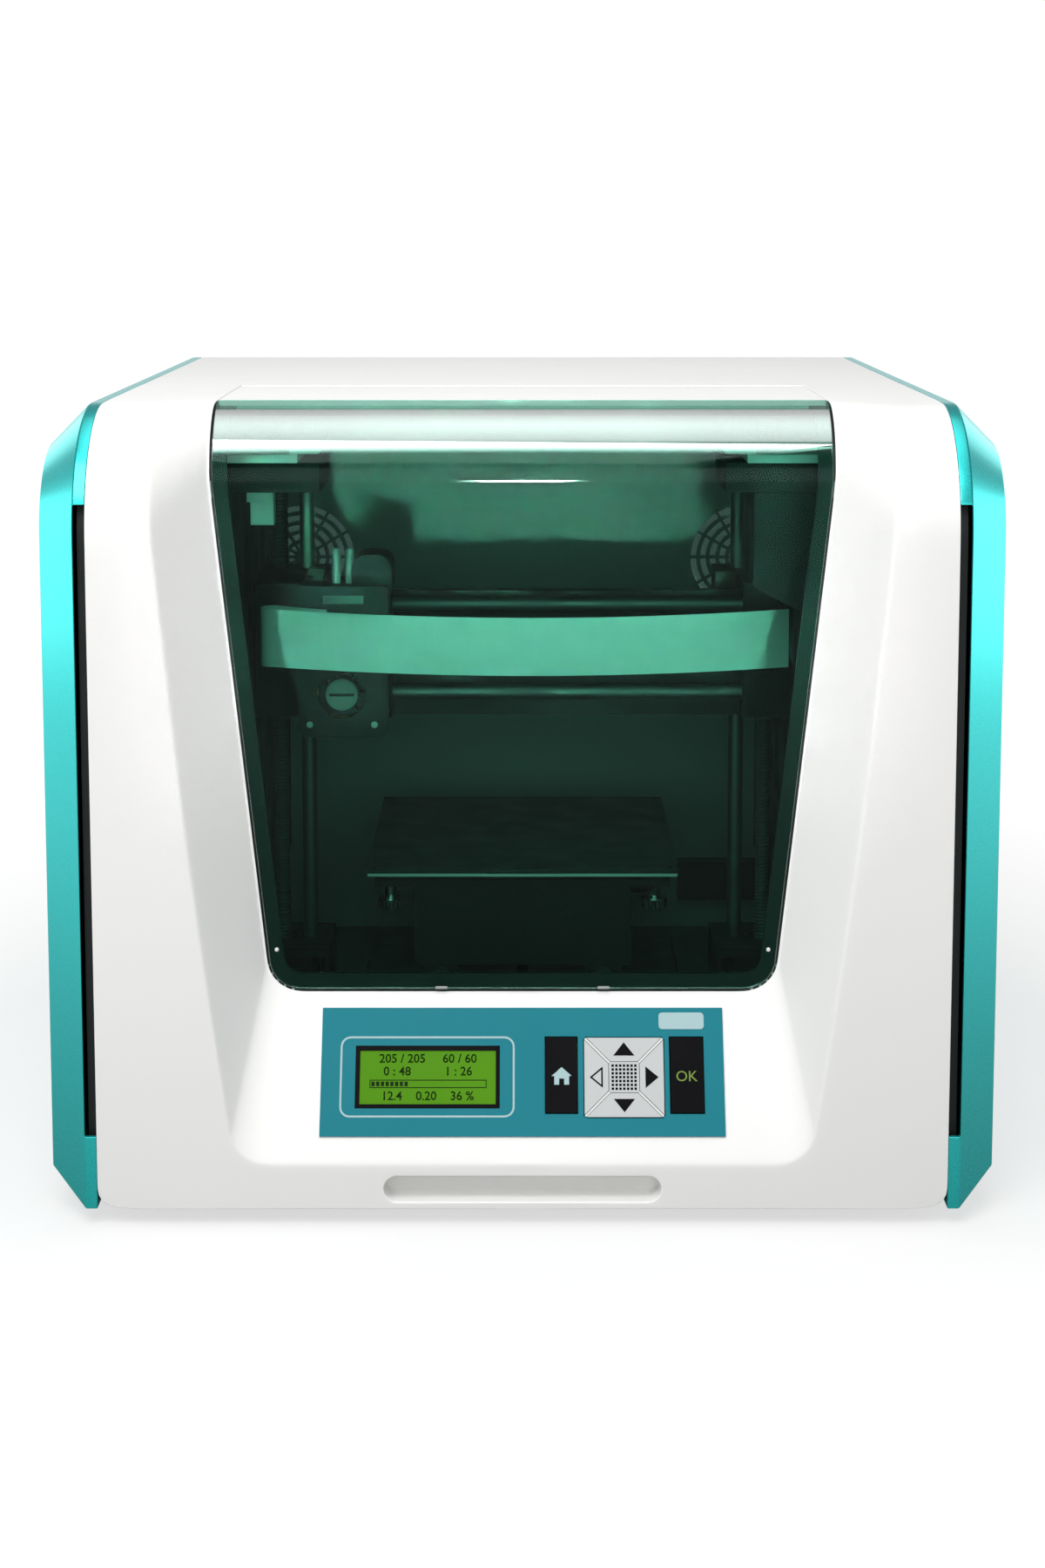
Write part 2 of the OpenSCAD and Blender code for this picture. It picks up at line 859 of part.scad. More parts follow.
module rounded_plate(x0, x1, z0, z1, y0, y1, r) {
    translate([0, y1, 0])
        rotate([90, 0, 0])
            linear_extrude(y1 - y0) {
                translate([x0 + r, z0])
                    square([x1 - x0 - 2 * r, z1 - z0]);
                translate([x0, z0 + r])
                    square([x1 - x0, z1 - z0 - 2 * r]);
                for (x = [x0 + r, x1 - r], z = [z0 + r, z1 - r])
                    translate([x, z])
                        circle(r);
            }
}

module head_housing() color(black) {
    difference() {
        union() {
            rounded_plate(head_l, head_r, head_low, 258, head_front, head_front + 3, 4.5);
            block(head_l + 1, head_r - 0.2, head_front + 2, 0.2, 190, 258);
            // Blower on the top right
            rounded_plate(head_x + 4, head_x + 24.5, 250, 273, head_front + 6, -2, 7);
        }
        // Inside, open at the bottom and the back
        block(head_l + 3, head_r - 2.2, head_front + 3, 2, 180, 256);
        block(head_x + 7, head_x + 21, head_front + 9, -5, 253, 270);
        rod_y(fan_x, head_front - 1, head_front + 4, fan_z, fan_r);
        // Slot for the lever's thumb tab
        block(lever_x - 7, lever_x + 7, -16, -4, 250, 260);
    }
    // Connector of the flat cable
    block(head_x - 10, head_x + 9, head_front - 1.2, head_front + 0.5, 247, 251);
    // Spider that carries the fan's axle
    difference() {
        for (a = [45, 135])
            translate([fan_x, head_front + 14.5, fan_z])
                rotate([0, a, 0])
                    cube([3, 1.4, 2 * fan_r + 4], center = true);
        rod_y(fan_x, head_front + 10, head_front + 20, fan_z, 1);
    }
    rod_y(fan_x, head_front + 12, head_front + 15.2, fan_z, 1.3);
}

module head_fan() color([0.2, 0.22, 0.22])
    translate([fan_x, head_front - 0.6, fan_z])
        rotate([-90, 0, 0])
            difference() {
                union() {
                    cylinder(r = 8.6, h = 10);
                    for (a = [0:360 / 7:359])
                        rotate(a)
                            translate([0, -0.7, 2])
                                cube([fan_r - 0.8, 1.4, 7.4]);
                }
                translate([0, 0, 3])
                    cylinder(r = 1.36, h = 8);
            }

module extruder_motor() color(black)
    translate([gear_x, -17.5, gear_z])
        rotate([-90, 0, 0])
            stepper(motor14, 14, 6);

module drive_gear() color(brass)
    translate([gear_x, -17.5, gear_z])
        rotate([-90, 0, 0])
            difference() {
                union() {
                    translate([0, 0, -5])
                        cylinder(r = 2.55, h = 16);
                    translate([0, 0, 2.5])
                        cylinder(r = 5, h = 10);
                }
                for (a = [0:30:330])
                    rotate(a)
                        translate([5.1, 0, 5])
                            cylinder(r = 0.5, h = 5, $fn = 16);
            }

module feed_lever() color([0.15, 0.16, 0.16]) {
    // Arm on a pivot bush, with the pressure roller and a thumb tab
    difference() {
        union() {
            rod_y(lever_x, -15, -5, lever_z, 4);
            block(lever_x - 2.5, lever_x + 2.5, -15, -5, lever_z, 264);
            block(lever_x - 5, lever_x + 3, -15, -5, 261, 264);
            block(lever_x, head_x - 6, -8, -5, gear_z - 3, gear_z + 3);
            rod_y(head_x - 6.4, -14, -5, gear_z, 4.6);
        }
        rod_y(lever_x, -16, -4, lever_z, pin_r + run_gap);
    }
}

module heat_sink() color(steel)
    translate([head_x, hot_y, 0])
        difference() {
            union() {
                for (z = [196:4:216])
                    translate([0, 0, z])
                        cylinder(r = 9.6, h = 2);
                rod_z(0, 0, 194, 222, 4);
            }
            rod_z(0, 0, 190, 230, 1.2);
        }

module hot_end() color(brass) {
    difference() {
        union() {
            block(head_x - 8, head_x + 12, hot_y - 7, hot_y + 7, 183, 194);
            translate([head_x, hot_y, nozzle_z])
                cylinder(r1 = 1, r2 = 3.5, h = 4);
            rod_z(head_x, hot_y, nozzle_z + 4, 184, 4);
        }
        rod_z(head_x, hot_y, nozzle_z - 1, 195, 0.5);
    }
    // Bracket from the heat sink to the carriage, with the lever's pin
    block(head_x - 19, head_x + 19, -0.2, 0.4, 196, 222);
    rod_y(lever_x, -16.5, 0.4, lever_z, pin_r);
}

// ---- door ----
strip_rear = hinge_y - 4;
strip_t = 3;
// Ends of the fixed knuckle, and the inner end of its pin
knuckle = [129, 137];
pin_start = 107;

module door_window() color([0.1, 0.45, 0.35, 0.5])
    window_sheet(0, 0, window_t);

module door_strip() color(white) {
    difference() {
        union() {
            block(-window_half_top, window_half_top, window_y + window_roll + 0.02, strip_rear,
                body_h - strip_t, body_h);
            // Barrel along the whole rear edge
            block(-knuckle[0], knuckle[0], strip_rear - 4, hinge_y,
                hinge_z - hinge_r + 2, body_h - 0.6);
            rod_x(-knuckle[0], knuckle[0], hinge_y, hinge_z, hinge_r);
            // Lap that the window is bonded to
            block(-window_half_top + 8, window_half_top - 8, window_y + window_roll + 0.02,
                window_y + window_roll + 12, body_h - strip_t - 1.5, body_h - strip_t);
        }
        both_sides()
            rod_x(pin_start, knuckle[0] + 1, hinge_y, hinge_z, pin_r + run_gap);
    }
}

module hinge_brackets() color(white) {
    both_sides() {
        rod_x(knuckle[0] + 0.4, knuckle[1], hinge_y, hinge_z, hinge_r);
        block(knuckle[0] + 0.4, knuckle[1], hinge_y, split_y + 14,
            hinge_z - hinge_r, hinge_z - 2);
        block(knuckle[0] - 14, knuckle[1], split_y + 1, split_y + 16,
            body_h - wall - 6, body_h - wall);
        rod_x(pin_start + 1, knuckle[1], hinge_y, hinge_z, pin_r);
    }
}

// ---- console ----
panel_v = [11.9, 68.4];
panel_t = 1;
lcd = [-74.4, -10.1, 24, 51.5];
home = [10.3, 24.3, 22, 55.2];
ok = [65.8, 80.5, 22, 55.2];
pad_c = [45.2, 37.6];
pad_half = [17.7, 17.4];
pad_core = 6.4;
key_gap = 0.4;
board_n = -9;

module key_rect(k, grow) {
    translate([k[0] - grow, k[2] - grow])
        square([k[1] - k[0] + 2 * grow, k[3] - k[2] + 2 * grow]);
}

module console_panel() color(console_teal)
    on_console()
        linear_extrude(panel_t)
            difference() {
                translate([-panel_half, panel_v[0]])
                    square([2 * panel_half, panel_v[1] - panel_v[0]]);
                key_rect(lcd, 0);
                key_rect(home, key_gap);
                key_rect(ok, key_gap);
                difference() {
                    translate(pad_c)
                        square([2 * (pad_half[0] + key_gap), 2 * (pad_half[1] + key_gap)],
                            center = true);
                    // Fixed centre of the arrow pad, and the bars that hold it
                    translate(pad_c)
                        square(2 * pad_core, center = true);
                    for (a = [-1, 1])
                        translate(pad_c)
                            rotate(a * atan2(pad_half[1], pad_half[0]))
                                square([60, 1], center = true);
                }
            }

module lcd_module() color([0.45, 0.65, 0.12])
    on_console() {
        translate([0, 0, -0.8])
            linear_extrude(1.2)
                key_rect(lcd, -0.2);
        block(-80, -4.5, 18.5, 57, board_n + 1.6, -0.8);
    }

// One arrow key's outline: a side of the pad, cut back from its diagonals
module pad_quarter(dir) {
    far = dir % 2 == 0 ? pad_half[0] : pad_half[1];
    side = dir % 2 == 0 ? pad_half[1] : pad_half[0];
    near = pad_core + 0.5;
    slack = 0.9;
    translate(pad_c)
        rotate(90 * dir)
            polygon([[far, -side + slack], [far, side - slack],
                     [near, near * side / far - slack], [near, -near * side / far + slack]]);
}

// Cap and stem under it, down to its switch on the board
module key_body(u, v) {
    translate([0, 0, -2])
        linear_extrude(3.4)
            children();
    translate([u, v, -5])
        cylinder(r = 2, h = 4);
}

module home_key() color(black)
    on_console()
        key_body((home[0] + home[1]) / 2, pad_c[1])
            key_rect(home, 0);

module ok_key() color(black)
    on_console()
        key_body((ok[0] + ok[1]) / 2, pad_c[1])
            key_rect(ok, 0);

module right_key() color(white)
    on_console()
        key_body(pad_c[0] + 12, pad_c[1])
            pad_quarter(0);

module up_key() color(white)
    on_console()
        key_body(pad_c[0], pad_c[1] + 12)
            pad_quarter(1);

module left_key() color(white)
    on_console()
        key_body(pad_c[0] - 12, pad_c[1])
            pad_quarter(2);

module down_key() color(white)
    on_console()
        key_body(pad_c[0], pad_c[1] - 12)
            pad_quarter(3);

module circuit_boards() color(board_green) {
    on_console() {
        block(-82, 84, 17, 59, board_n, board_n + 1.6);
        for (p = [[(home[0] + home[1]) / 2, pad_c[1]], [(ok[0] + ok[1]) / 2, pad_c[1]],
                  [pad_c[0] + 12, pad_c[1]], [pad_c[0] - 12, pad_c[1]],
                  [pad_c[0], pad_c[1] + 12], [pad_c[0], pad_c[1] - 12]])
            block(p[0] - 3, p[0] + 3, p[1] - 3, p[1] + 3, board_n + 1.6, -5 - key_travel - 0.3);
        // Ribs that hold the board to the back of the panel
        for (x = [-81, 83])
            block(x - 1, x + 1, 18, 58, board_n + 1.6, 0);
    }
    // Main board on posts from the shell and the right frame
    block(152, 153.6, -110, 110, 70, 210);
    for (z = [80, 200]) {
        rod_x(153.6, inner_half, -100, z, 3);
        rod_x(153.6, shell_half + 0.2, 100, z, 3);
    }
    for (y = [-60, -10, 40])
        block(146, 152, y, y + 30, 110, 130);
}

// ---- rear ports, switch and screws ----
module rear_ports() color(black) {
    difference() {
        union() {
            block(port_x - 24, port_x + 24, rear_y - 14, rear_y - 0.5, port_z - 12, port_z + 12);
            block(switch_x - 11, switch_x + 11, rear_y - 14, rear_y, port_z - 7, port_z + 7);
        }
        // Round power inlet with its centre pin, and a square data port
        difference() {
            rod_y(port_x + 11, rear_y - 10, rear_y + 1, port_z, 5.5);
            rod_y(port_x + 11, rear_y - 11, rear_y - 2, port_z, 1.2);
        }
        block(port_x - 17, port_x - 5, rear_y - 10, rear_y + 1, port_z - 5.5, port_z + 5.5);
        block(switch_x - 9.5, switch_x + 9.5, rear_y - 9, rear_y + 2, port_z - 5.5, port_z + 5.5);
        // Bore that the rocker's pivot pins turn in
        rod_z(switch_x, rocker_y, port_z - 6.4, port_z + 6.4, rocker_pin_r + run_gap);
    }
    block(port_x - 14, port_x - 8, rear_y - 10.5, rear_y - 3, port_z - 2, port_z + 2);
}

module power_rocker() color([0.15, 0.16, 0.16]) {
    translate([switch_x, rocker_y, port_z - 5])
        rotate(rocker_tilt)
            linear_extrude(10)
                polygon([[-8.2, -2.4], [8.2, -2.4], [8.2, 2.2], [0, 1.3], [-8.2, 2.2]]);
    rod_z(switch_x, rocker_y, port_z - 6.2, port_z + 6.2, rocker_pin_r);
}

module shell_screws() color(steel) {
    for (x = screw_x, z = screw_z)
        translate([x, rear_y - screw_sink, z])
            rotate([-90, 0, 0])
                difference() {
                    cylinder(r = 3.4, h = screw_sink - 0.2);
                    translate([-0.5, -2.4, 0.8])
                        cube([1, 4.8, 1]);
                    translate([-2.4, -0.5, 0.8])
                        cube([4.8, 1, 1]);
                }
}

// ---- filament spool ----
spool_x = -183.5;
spool_y = -80;
spool_z = 125;
holder_r = 24;
holder_neck_r = 12;
hub_r = holder_r + 0.1;

module spool_holder() color([0.2, 0.2, 0.2])
    difference() {
        union() {
            rod_x(-inner_half, spool_x + spool_w - 2, spool_y, spool_z, holder_r);
            rod_x(-shell_half - 0.2, -inner_half + 0.2, spool_y, spool_z, holder_neck_r);
        }
        rod_x(spool_x + 4, spool_x + spool_w, spool_y, spool_z, holder_r - 3);
    }

module spool() color([0.75, 0.75, 0.72]) {
    difference() {
        union() {
            rod_x(spool_x, spool_x + 3, spool_y, spool_z, spool_d / 2);
            rod_x(spool_x + spool_w - 3, spool_x + spool_w, spool_y, spool_z, spool_d / 2);
            rod_x(spool_x, spool_x + spool_w, spool_y, spool_z, spool_d / 2 - 12);
        }
        rod_x(spool_x - 1, spool_x + spool_w + 1, spool_y, spool_z, hub_r);
    }
}

base_tray();
rubber_feet();
front_shell();
top_cover();
rear_panel();
left_cover();
right_cover();
side_frames();
chamber_liners();
front_ledges();
cable_housings();
rod_mounts();
hinge_brackets();
console_panel();
lcd_module();
circuit_boards();
filament_guide();
z_motors();
z_rods();
y_motor();
y_rods();
y_belt();
spool_holder();
rear_ports();
shell_screws();
door_window();
door_strip();
left_bracket();
right_bracket();
x_rods();
x_beam();
x_motor();
x_belt();
z_nuts();
ribbon_cable();
head_housing();
carriage_block();
extruder_motor();
heat_sink();
hot_end();
head_fan();
drive_gear();
feed_lever();
x_pulley();
x_idler();
z_screw_left();
z_screw_right();
bed_plate();
bed_carriage();
bed_springs();
y_pulley();
y_idler();
spool();
power_rocker();
home_key();
ok_key();
up_key();
down_key();
left_key();
right_key();
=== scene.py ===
"""Enclosed desktop filament printer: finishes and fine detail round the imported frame.

Metres, +Z up, front at -Y. Lengths written with MM are the real sizes in millimetres.
"""
import math

import bmesh
import bpy
from mathutils import Matrix, Vector


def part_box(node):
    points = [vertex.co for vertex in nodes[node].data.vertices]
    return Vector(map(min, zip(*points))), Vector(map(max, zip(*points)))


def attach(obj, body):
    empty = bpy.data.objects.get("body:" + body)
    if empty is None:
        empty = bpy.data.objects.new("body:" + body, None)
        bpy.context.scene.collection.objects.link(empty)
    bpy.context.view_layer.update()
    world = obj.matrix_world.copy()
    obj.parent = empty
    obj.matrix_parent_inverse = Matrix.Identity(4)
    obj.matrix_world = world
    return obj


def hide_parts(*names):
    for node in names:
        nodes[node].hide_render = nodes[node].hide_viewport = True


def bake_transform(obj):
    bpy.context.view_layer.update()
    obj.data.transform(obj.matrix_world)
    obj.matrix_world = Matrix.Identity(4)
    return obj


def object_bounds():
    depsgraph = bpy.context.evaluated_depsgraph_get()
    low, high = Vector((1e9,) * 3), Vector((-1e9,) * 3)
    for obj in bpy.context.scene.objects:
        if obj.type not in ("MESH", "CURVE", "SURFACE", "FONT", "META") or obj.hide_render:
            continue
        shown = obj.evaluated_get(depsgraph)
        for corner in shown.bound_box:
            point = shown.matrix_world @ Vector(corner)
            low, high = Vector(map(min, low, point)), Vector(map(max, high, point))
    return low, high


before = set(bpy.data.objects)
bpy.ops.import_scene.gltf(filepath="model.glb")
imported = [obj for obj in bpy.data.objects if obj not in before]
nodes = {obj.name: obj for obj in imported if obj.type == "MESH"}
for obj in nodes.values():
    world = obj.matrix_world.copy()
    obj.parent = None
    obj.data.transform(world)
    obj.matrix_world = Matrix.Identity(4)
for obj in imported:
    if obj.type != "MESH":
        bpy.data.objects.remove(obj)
cad_low, cad_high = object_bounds()

MM = 0.001


# ---------------------------------------------------------------- camera
CAMERA_PLACE = (0.0, -1.268, 0.4445)
CAMERA_TILT = 6.65
CAMERA_LENS = 57.14
CAMERA_SHIFT = -0.18


def make_camera():
    data = bpy.data.cameras.new("camera")
    data.lens = CAMERA_LENS
    data.sensor_width = 36
    data.shift_y = CAMERA_SHIFT
    data.clip_start = 0.05
    data.clip_end = 60
    camera = bpy.data.objects.new("camera", data)
    camera.location = CAMERA_PLACE
    camera.rotation_euler = (math.radians(90 - CAMERA_TILT), 0, 0)
    bpy.context.scene.collection.objects.link(camera)
    bpy.context.scene.camera = camera


make_camera()


# ---------------------------------------------------------------- shader helpers
class Shader:
    """The node tree of a material or world, with short calls for the nodes that it uses."""

    def __init__(self, owner, output="ShaderNodeOutputMaterial"):
        owner.use_nodes = True
        self.owner = owner
        self.tree = owner.node_tree
        self.tree.nodes.clear()
        self.output = self.tree.nodes.new(output)
        self.coords = None

    def add(self, kind, **sockets):
        node = self.tree.nodes.new(kind)
        for name, value in sockets.items():
            self.put(node.inputs[name.replace("_", " ")], value)
        return node

    def put(self, socket, value):
        if isinstance(value, bpy.types.NodeSocket):
            self.tree.links.new(value, socket)
        elif isinstance(value, (tuple, list)) and len(value) == 3 and socket.type == "RGBA":
            socket.default_value = (*value, 1)
        else:
            socket.default_value = value

    def place(self, stretch=(1, 1, 1)):
        """Object coordinates, stretched along the axes."""
        if self.coords is None:
            self.coords = self.add("ShaderNodeTexCoord")
        mapping = self.add("ShaderNodeMapping", Vector=self.coords.outputs["Object"])
        mapping.inputs["Scale"].default_value = stretch
        return mapping.outputs[0]

    def noise(self, scale, detail=2, stretch=(1, 1, 1)):
        node = self.add("ShaderNodeTexNoise", Vector=self.place(stretch), Scale=scale, Detail=detail)
        return node.outputs["Fac"]

    def spread(self, value, low, high, start=0.3, stop=0.7):
        """value, spread from low to high over the range start to stop."""
        node = self.add("ShaderNodeMapRange", Value=value)
        node.inputs["From Min"].default_value = start
        node.inputs["From Max"].default_value = stop
        node.inputs["To Min"].default_value = low
        node.inputs["To Max"].default_value = high
        return node.outputs[0]

    def mix(self, factor, first, second):
        """A colour between two. A mix node's colours are its sockets 6 and 7."""
        node = self.tree.nodes.new("ShaderNodeMix")
        node.data_type = "RGBA"
        self.put(node.inputs[0], factor)
        self.put(node.inputs[6], first)
        self.put(node.inputs[7], second)
        return node.outputs[2]

    def bump(self, height, strength, distance):
        node = self.add("ShaderNodeBump", Height=height, Strength=strength, Distance=distance)
        return node.outputs[0]

    def maths(self, operation, first, second):
        node = self.add("ShaderNodeMath")
        node.operation = operation
        self.put(node.inputs[0], first)
        self.put(node.inputs[1], second)
        return node.outputs[0]

    def blend(self, share, first, second):
        """Two surfaces, mixed by the share of the second one."""
        node = self.tree.nodes.new("ShaderNodeMixShader")
        self.put(node.inputs[0], share)
        self.put(node.inputs[1], first.outputs[0])
        self.put(node.inputs[2], second.outputs[0])
        return node

    def finish(self, shader):
        self.tree.links.new(shader.outputs[0], self.output.inputs["Surface"])
        return self.owner


def new_material(name):
    return Shader(bpy.data.materials.new(name))


def shade(colour, factor):
    return tuple(c * factor for c in colour)


def moulded(name, colour, roughness, grain=1600, depth=0.02, coat=0.0, vary=0.04, shine=0.5):
    """Moulded plastic: fine spark grain, faint flow marks and a slightly uneven gloss."""
    s = new_material(name)
    tone = s.mix(s.spread(s.noise(9, 3), 0, 1), shade(colour, 1 - vary), colour)
    gloss = s.spread(s.noise(60, 3), roughness * 0.85, roughness * 1.15)
    normal = s.bump(s.noise(grain, 2), 0.25, depth * MM)
    return s.finish(s.add("ShaderNodeBsdfPrincipled", Base_Color=tone, Roughness=gloss, Normal=normal,
                          IOR=1.5, Specular_IOR_Level=shine, Coat_Weight=coat, Coat_Roughness=0.06))


def metal(name, colour, roughness, stretch):
    """Bright metal with fine drawing marks along one axis."""
    s = new_material(name)
    marks = s.noise(700, 3, stretch)
    tone = s.mix(s.spread(marks, 0, 1), shade(colour, 0.86), colour)
    gloss = s.spread(marks, roughness * 0.75, roughness * 1.3)
    normal = s.bump(marks, 0.15, 0.02 * MM)
    return s.finish(s.add("ShaderNodeBsdfPrincipled", Base_Color=tone, Roughness=gloss, Normal=normal,
                          Metallic=1))


# ---------------------------------------------------------------- materials
def pearly(name, colour, metallic, roughness, coat):
    """Glossy pearl paint: the reflections take the paint's colour."""
    s = new_material(name)
    tone = s.mix(s.spread(s.noise(9, 3), 0, 1), shade(colour, 0.97), colour)
    flake = s.noise(4200, 1)
    gloss = s.spread(flake, roughness * 0.92, roughness * 1.08)
    normal = s.bump(flake, 0.1, 0.01 * MM)
    return s.finish(s.add("ShaderNodeBsdfPrincipled", Base_Color=tone, Roughness=gloss, Normal=normal,
                          Metallic=metallic, Coat_Weight=coat, Coat_Roughness=0.12))


# Light that one face of the sheet lets through. Its mirror share grows from the first to the
# second value as its slant (1 less the cosine of the angle) goes from the third to the fourth.
WINDOW_PASS = (0.57, 0.85, 0.77)
WINDOW_MIRROR = (0.005, 0.31, 0.056, 0.125)


def window_tint():
    """Clear green sheet: tints what is behind it and mirrors more at a slant."""
    s = new_material("window_green")
    tint = s.add("ShaderNodeBsdfTransparent", Color=WINDOW_PASS)
    gloss = s.add("ShaderNodeBsdfAnisotropic", Color=(1, 1, 1), Roughness=0.03)
    weight = s.add("ShaderNodeLayerWeight", Blend=0.5)
    share = s.spread(weight.outputs["Facing"], *WINDOW_MIRROR)
    return s.finish(s.blend(share, tint, gloss))


# Y between the rear panel's two faces, and the width of the change from one finish to the other
PANEL_MIDDLE = 0.2127
PANEL_CHANGE = 0.0001


def lined_panel():
    """The rear panel: white outside and grey on its inside face."""
    s = new_material("rear_panel_white")
    split = s.add("ShaderNodeSeparateXYZ", Vector=s.place())
    outside = s.spread(split.outputs["Y"], 0, 1, PANEL_MIDDLE - PANEL_CHANGE,
                       PANEL_MIDDLE + PANEL_CHANGE)
    white = s.mix(s.spread(s.noise(9, 3), 0, 1), shade(WHITE, 0.985), WHITE)
    tone = s.mix(outside, INSIDE_GREY, white)
    gloss = s.spread(s.noise(60, 3), 0.36, 0.48)
    normal = s.bump(s.noise(1600, 2), 0.25, 0.02 * MM)
    return s.finish(s.add("ShaderNodeBsdfPrincipled", Base_Color=tone, Roughness=gloss, Normal=normal,
                          IOR=1.5, Specular_IOR_Level=0.35))


def fleece():
    """Thin filter cloth: lets a little light through between its fibres."""
    s = new_material("filter_grey")
    fibres = s.mix(s.noise(900, 2), (0.04, 0.042, 0.042), (0.1, 0.1, 0.1))
    cloth = s.add("ShaderNodeBsdfDiffuse", Color=fibres)
    pores = s.add("ShaderNodeBsdfTransparent", Color=(0.55, 0.55, 0.55))
    return s.finish(s.blend(s.spread(s.noise(1400, 1), 0.35, 0.65), cloth, pores))


WHITE = (0.88, 0.88, 0.865)
INSIDE_GREY = (0.44, 0.45, 0.44)
BLACK = (0.016, 0.018, 0.018)

MATERIALS = {
    "shell_white": moulded("shell_white", WHITE, 0.42, coat=0.05, vary=0.015, shine=0.35),
    "rear_panel_white": lined_panel(),
    "cover_teal": pearly("cover_teal", (0.03, 0.58, 0.57), 0.8, 0.27, 0.1),
    "frame_black": moulded("frame_black", BLACK, 0.5, shine=0.25),
    "tray_black": moulded("tray_black", (0.13, 0.14, 0.14), 0.5, shine=0.3),
    "black_plastic": moulded("black_plastic", BLACK, 0.42, shine=0.3),
    "motor_black": moulded("motor_black", (0.012, 0.013, 0.014), 0.35, shine=0.3),
    "rubber": moulded("rubber", (0.02, 0.02, 0.02), 0.8, grain=900, depth=0.05),
    "console_teal": moulded("console_teal", (0.012, 0.2, 0.25), 0.42, shine=0.08),
    "lcd_green": moulded("lcd_green", (0.09, 0.29, 0.006), 0.35, vary=0.12, shine=0.05),
    "board_green": moulded("board_green", (0.012, 0.11, 0.04), 0.35),
    "plate_grey": moulded("plate_grey", (0.34, 0.36, 0.35), 0.4, shine=0.3),
    "filter_grey": fleece(),
    "guide_grey": moulded("guide_grey", (0.8, 0.8, 0.79), 0.4),
    "steel": metal("steel", (0.62, 0.63, 0.64), 0.25, (1, 1, 0.05)),
    # Steel darkened as painted shade, for the rods and lead screws in the dim chamber
    "steel_painted_shade": metal("steel_painted_shade", (0.24, 0.25, 0.25), 0.5, (0.1, 0.1, 0.1)),
    "aluminium": metal("aluminium", (0.7, 0.71, 0.72), 0.35, (0.1, 1, 1)),
    "brass": metal("brass", (0.72, 0.52, 0.22), 0.3, (1, 1, 0.1)),
    "ribbon_teal": moulded("ribbon_teal", (0.82, 0.86, 0.84), 0.35, vary=0.02),
    "window_green": window_tint(),
    "bed_black": moulded("bed_black", (0.03, 0.032, 0.032), 0.42, vary=0.01, shine=0.4),
    "spool_grey": moulded("spool_grey", (0.5, 0.5, 0.48), 0.45),
    "key_black": moulded("key_black", (0.003, 0.003, 0.004), 0.4, shine=0.04),
    "lcd_ink": moulded("lcd_ink", (0.008, 0.028, 0.002), 0.5, shine=0.05),
    "print_white": moulded("print_white", (0.37, 0.53, 0.55), 0.4, shine=0.2),
    "ok_green": moulded("ok_green", (0.16, 0.26, 0.03), 0.4, shine=0.3),
    "filament": moulded("filament", (0.03, 0.45, 0.4), 0.3),
    "key_white": moulded("key_white", (0.54, 0.56, 0.56), 0.4, shine=0.15),
}


# ---------------------------------------------------------------- edges and smoothing
SMOOTH_ANGLE = 35


def smooth_group():
    """Node group that shades smooth all but the edges sharper than SMOOTH_ANGLE."""
    group = bpy.data.node_groups.get("smooth_by_angle")
    if group is not None:
        return group
    group = bpy.data.node_groups.new("smooth_by_angle", "GeometryNodeTree")
    for way in ("INPUT", "OUTPUT"):
        group.interface.new_socket("Geometry", in_out=way, socket_type="NodeSocketGeometry")
    start = group.nodes.new("NodeGroupInput")
    stop = group.nodes.new("NodeGroupOutput")
    faces = group.nodes.new("GeometryNodeSetShadeSmooth")
    edges = group.nodes.new("GeometryNodeSetShadeSmooth")
    edges.domain = "EDGE"
    edges.inputs["Shade Smooth"].default_value = False
    angle = group.nodes.new("GeometryNodeInputMeshEdgeAngle")
    sharp = group.nodes.new("FunctionNodeCompare")
    sharp.operation = "GREATER_THAN"
    sharp.inputs[1].default_value = math.radians(SMOOTH_ANGLE)
    link = group.links.new
    link(start.outputs[0], faces.inputs[0])
    link(faces.outputs[0], edges.inputs[0])
    link(angle.outputs[0], sharp.inputs[0])
    link(sharp.outputs[0], edges.inputs["Selection"])
    link(edges.outputs[0], stop.inputs[0])
    return group


def soften(piece, width, segments=2):
    """Rounds the sharp edges and shades the rest smooth."""
    if width:
        bevel = piece.modifiers.new("edge_round", "BEVEL")
        bevel.width = width
        bevel.segments = segments
        bevel.limit_method = "ANGLE"
        bevel.angle_limit = math.radians(30)
    piece.modifiers.new("smooth", "NODES").node_group = smooth_group()
    weighted = piece.modifiers.new("weighted_normals", "WEIGHTED_NORMAL")
    weighted.keep_sharp = True


def dress(name, material, edge=0.3):
    """Gives a CAD node its finish. Its loose triangles are joined by modifiers first."""
    node = nodes[name]
    weld = node.modifiers.new("join", "WELD")
    weld.merge_threshold = 0.002 * MM
    flat = node.modifiers.new("flat_faces", "DECIMATE")
    flat.decimate_type = "DISSOLVE"
    flat.angle_limit = math.radians(0.5)
    soften(node, edge * MM)
    node.data.materials.clear()
    node.data.materials.append(MATERIALS[material])


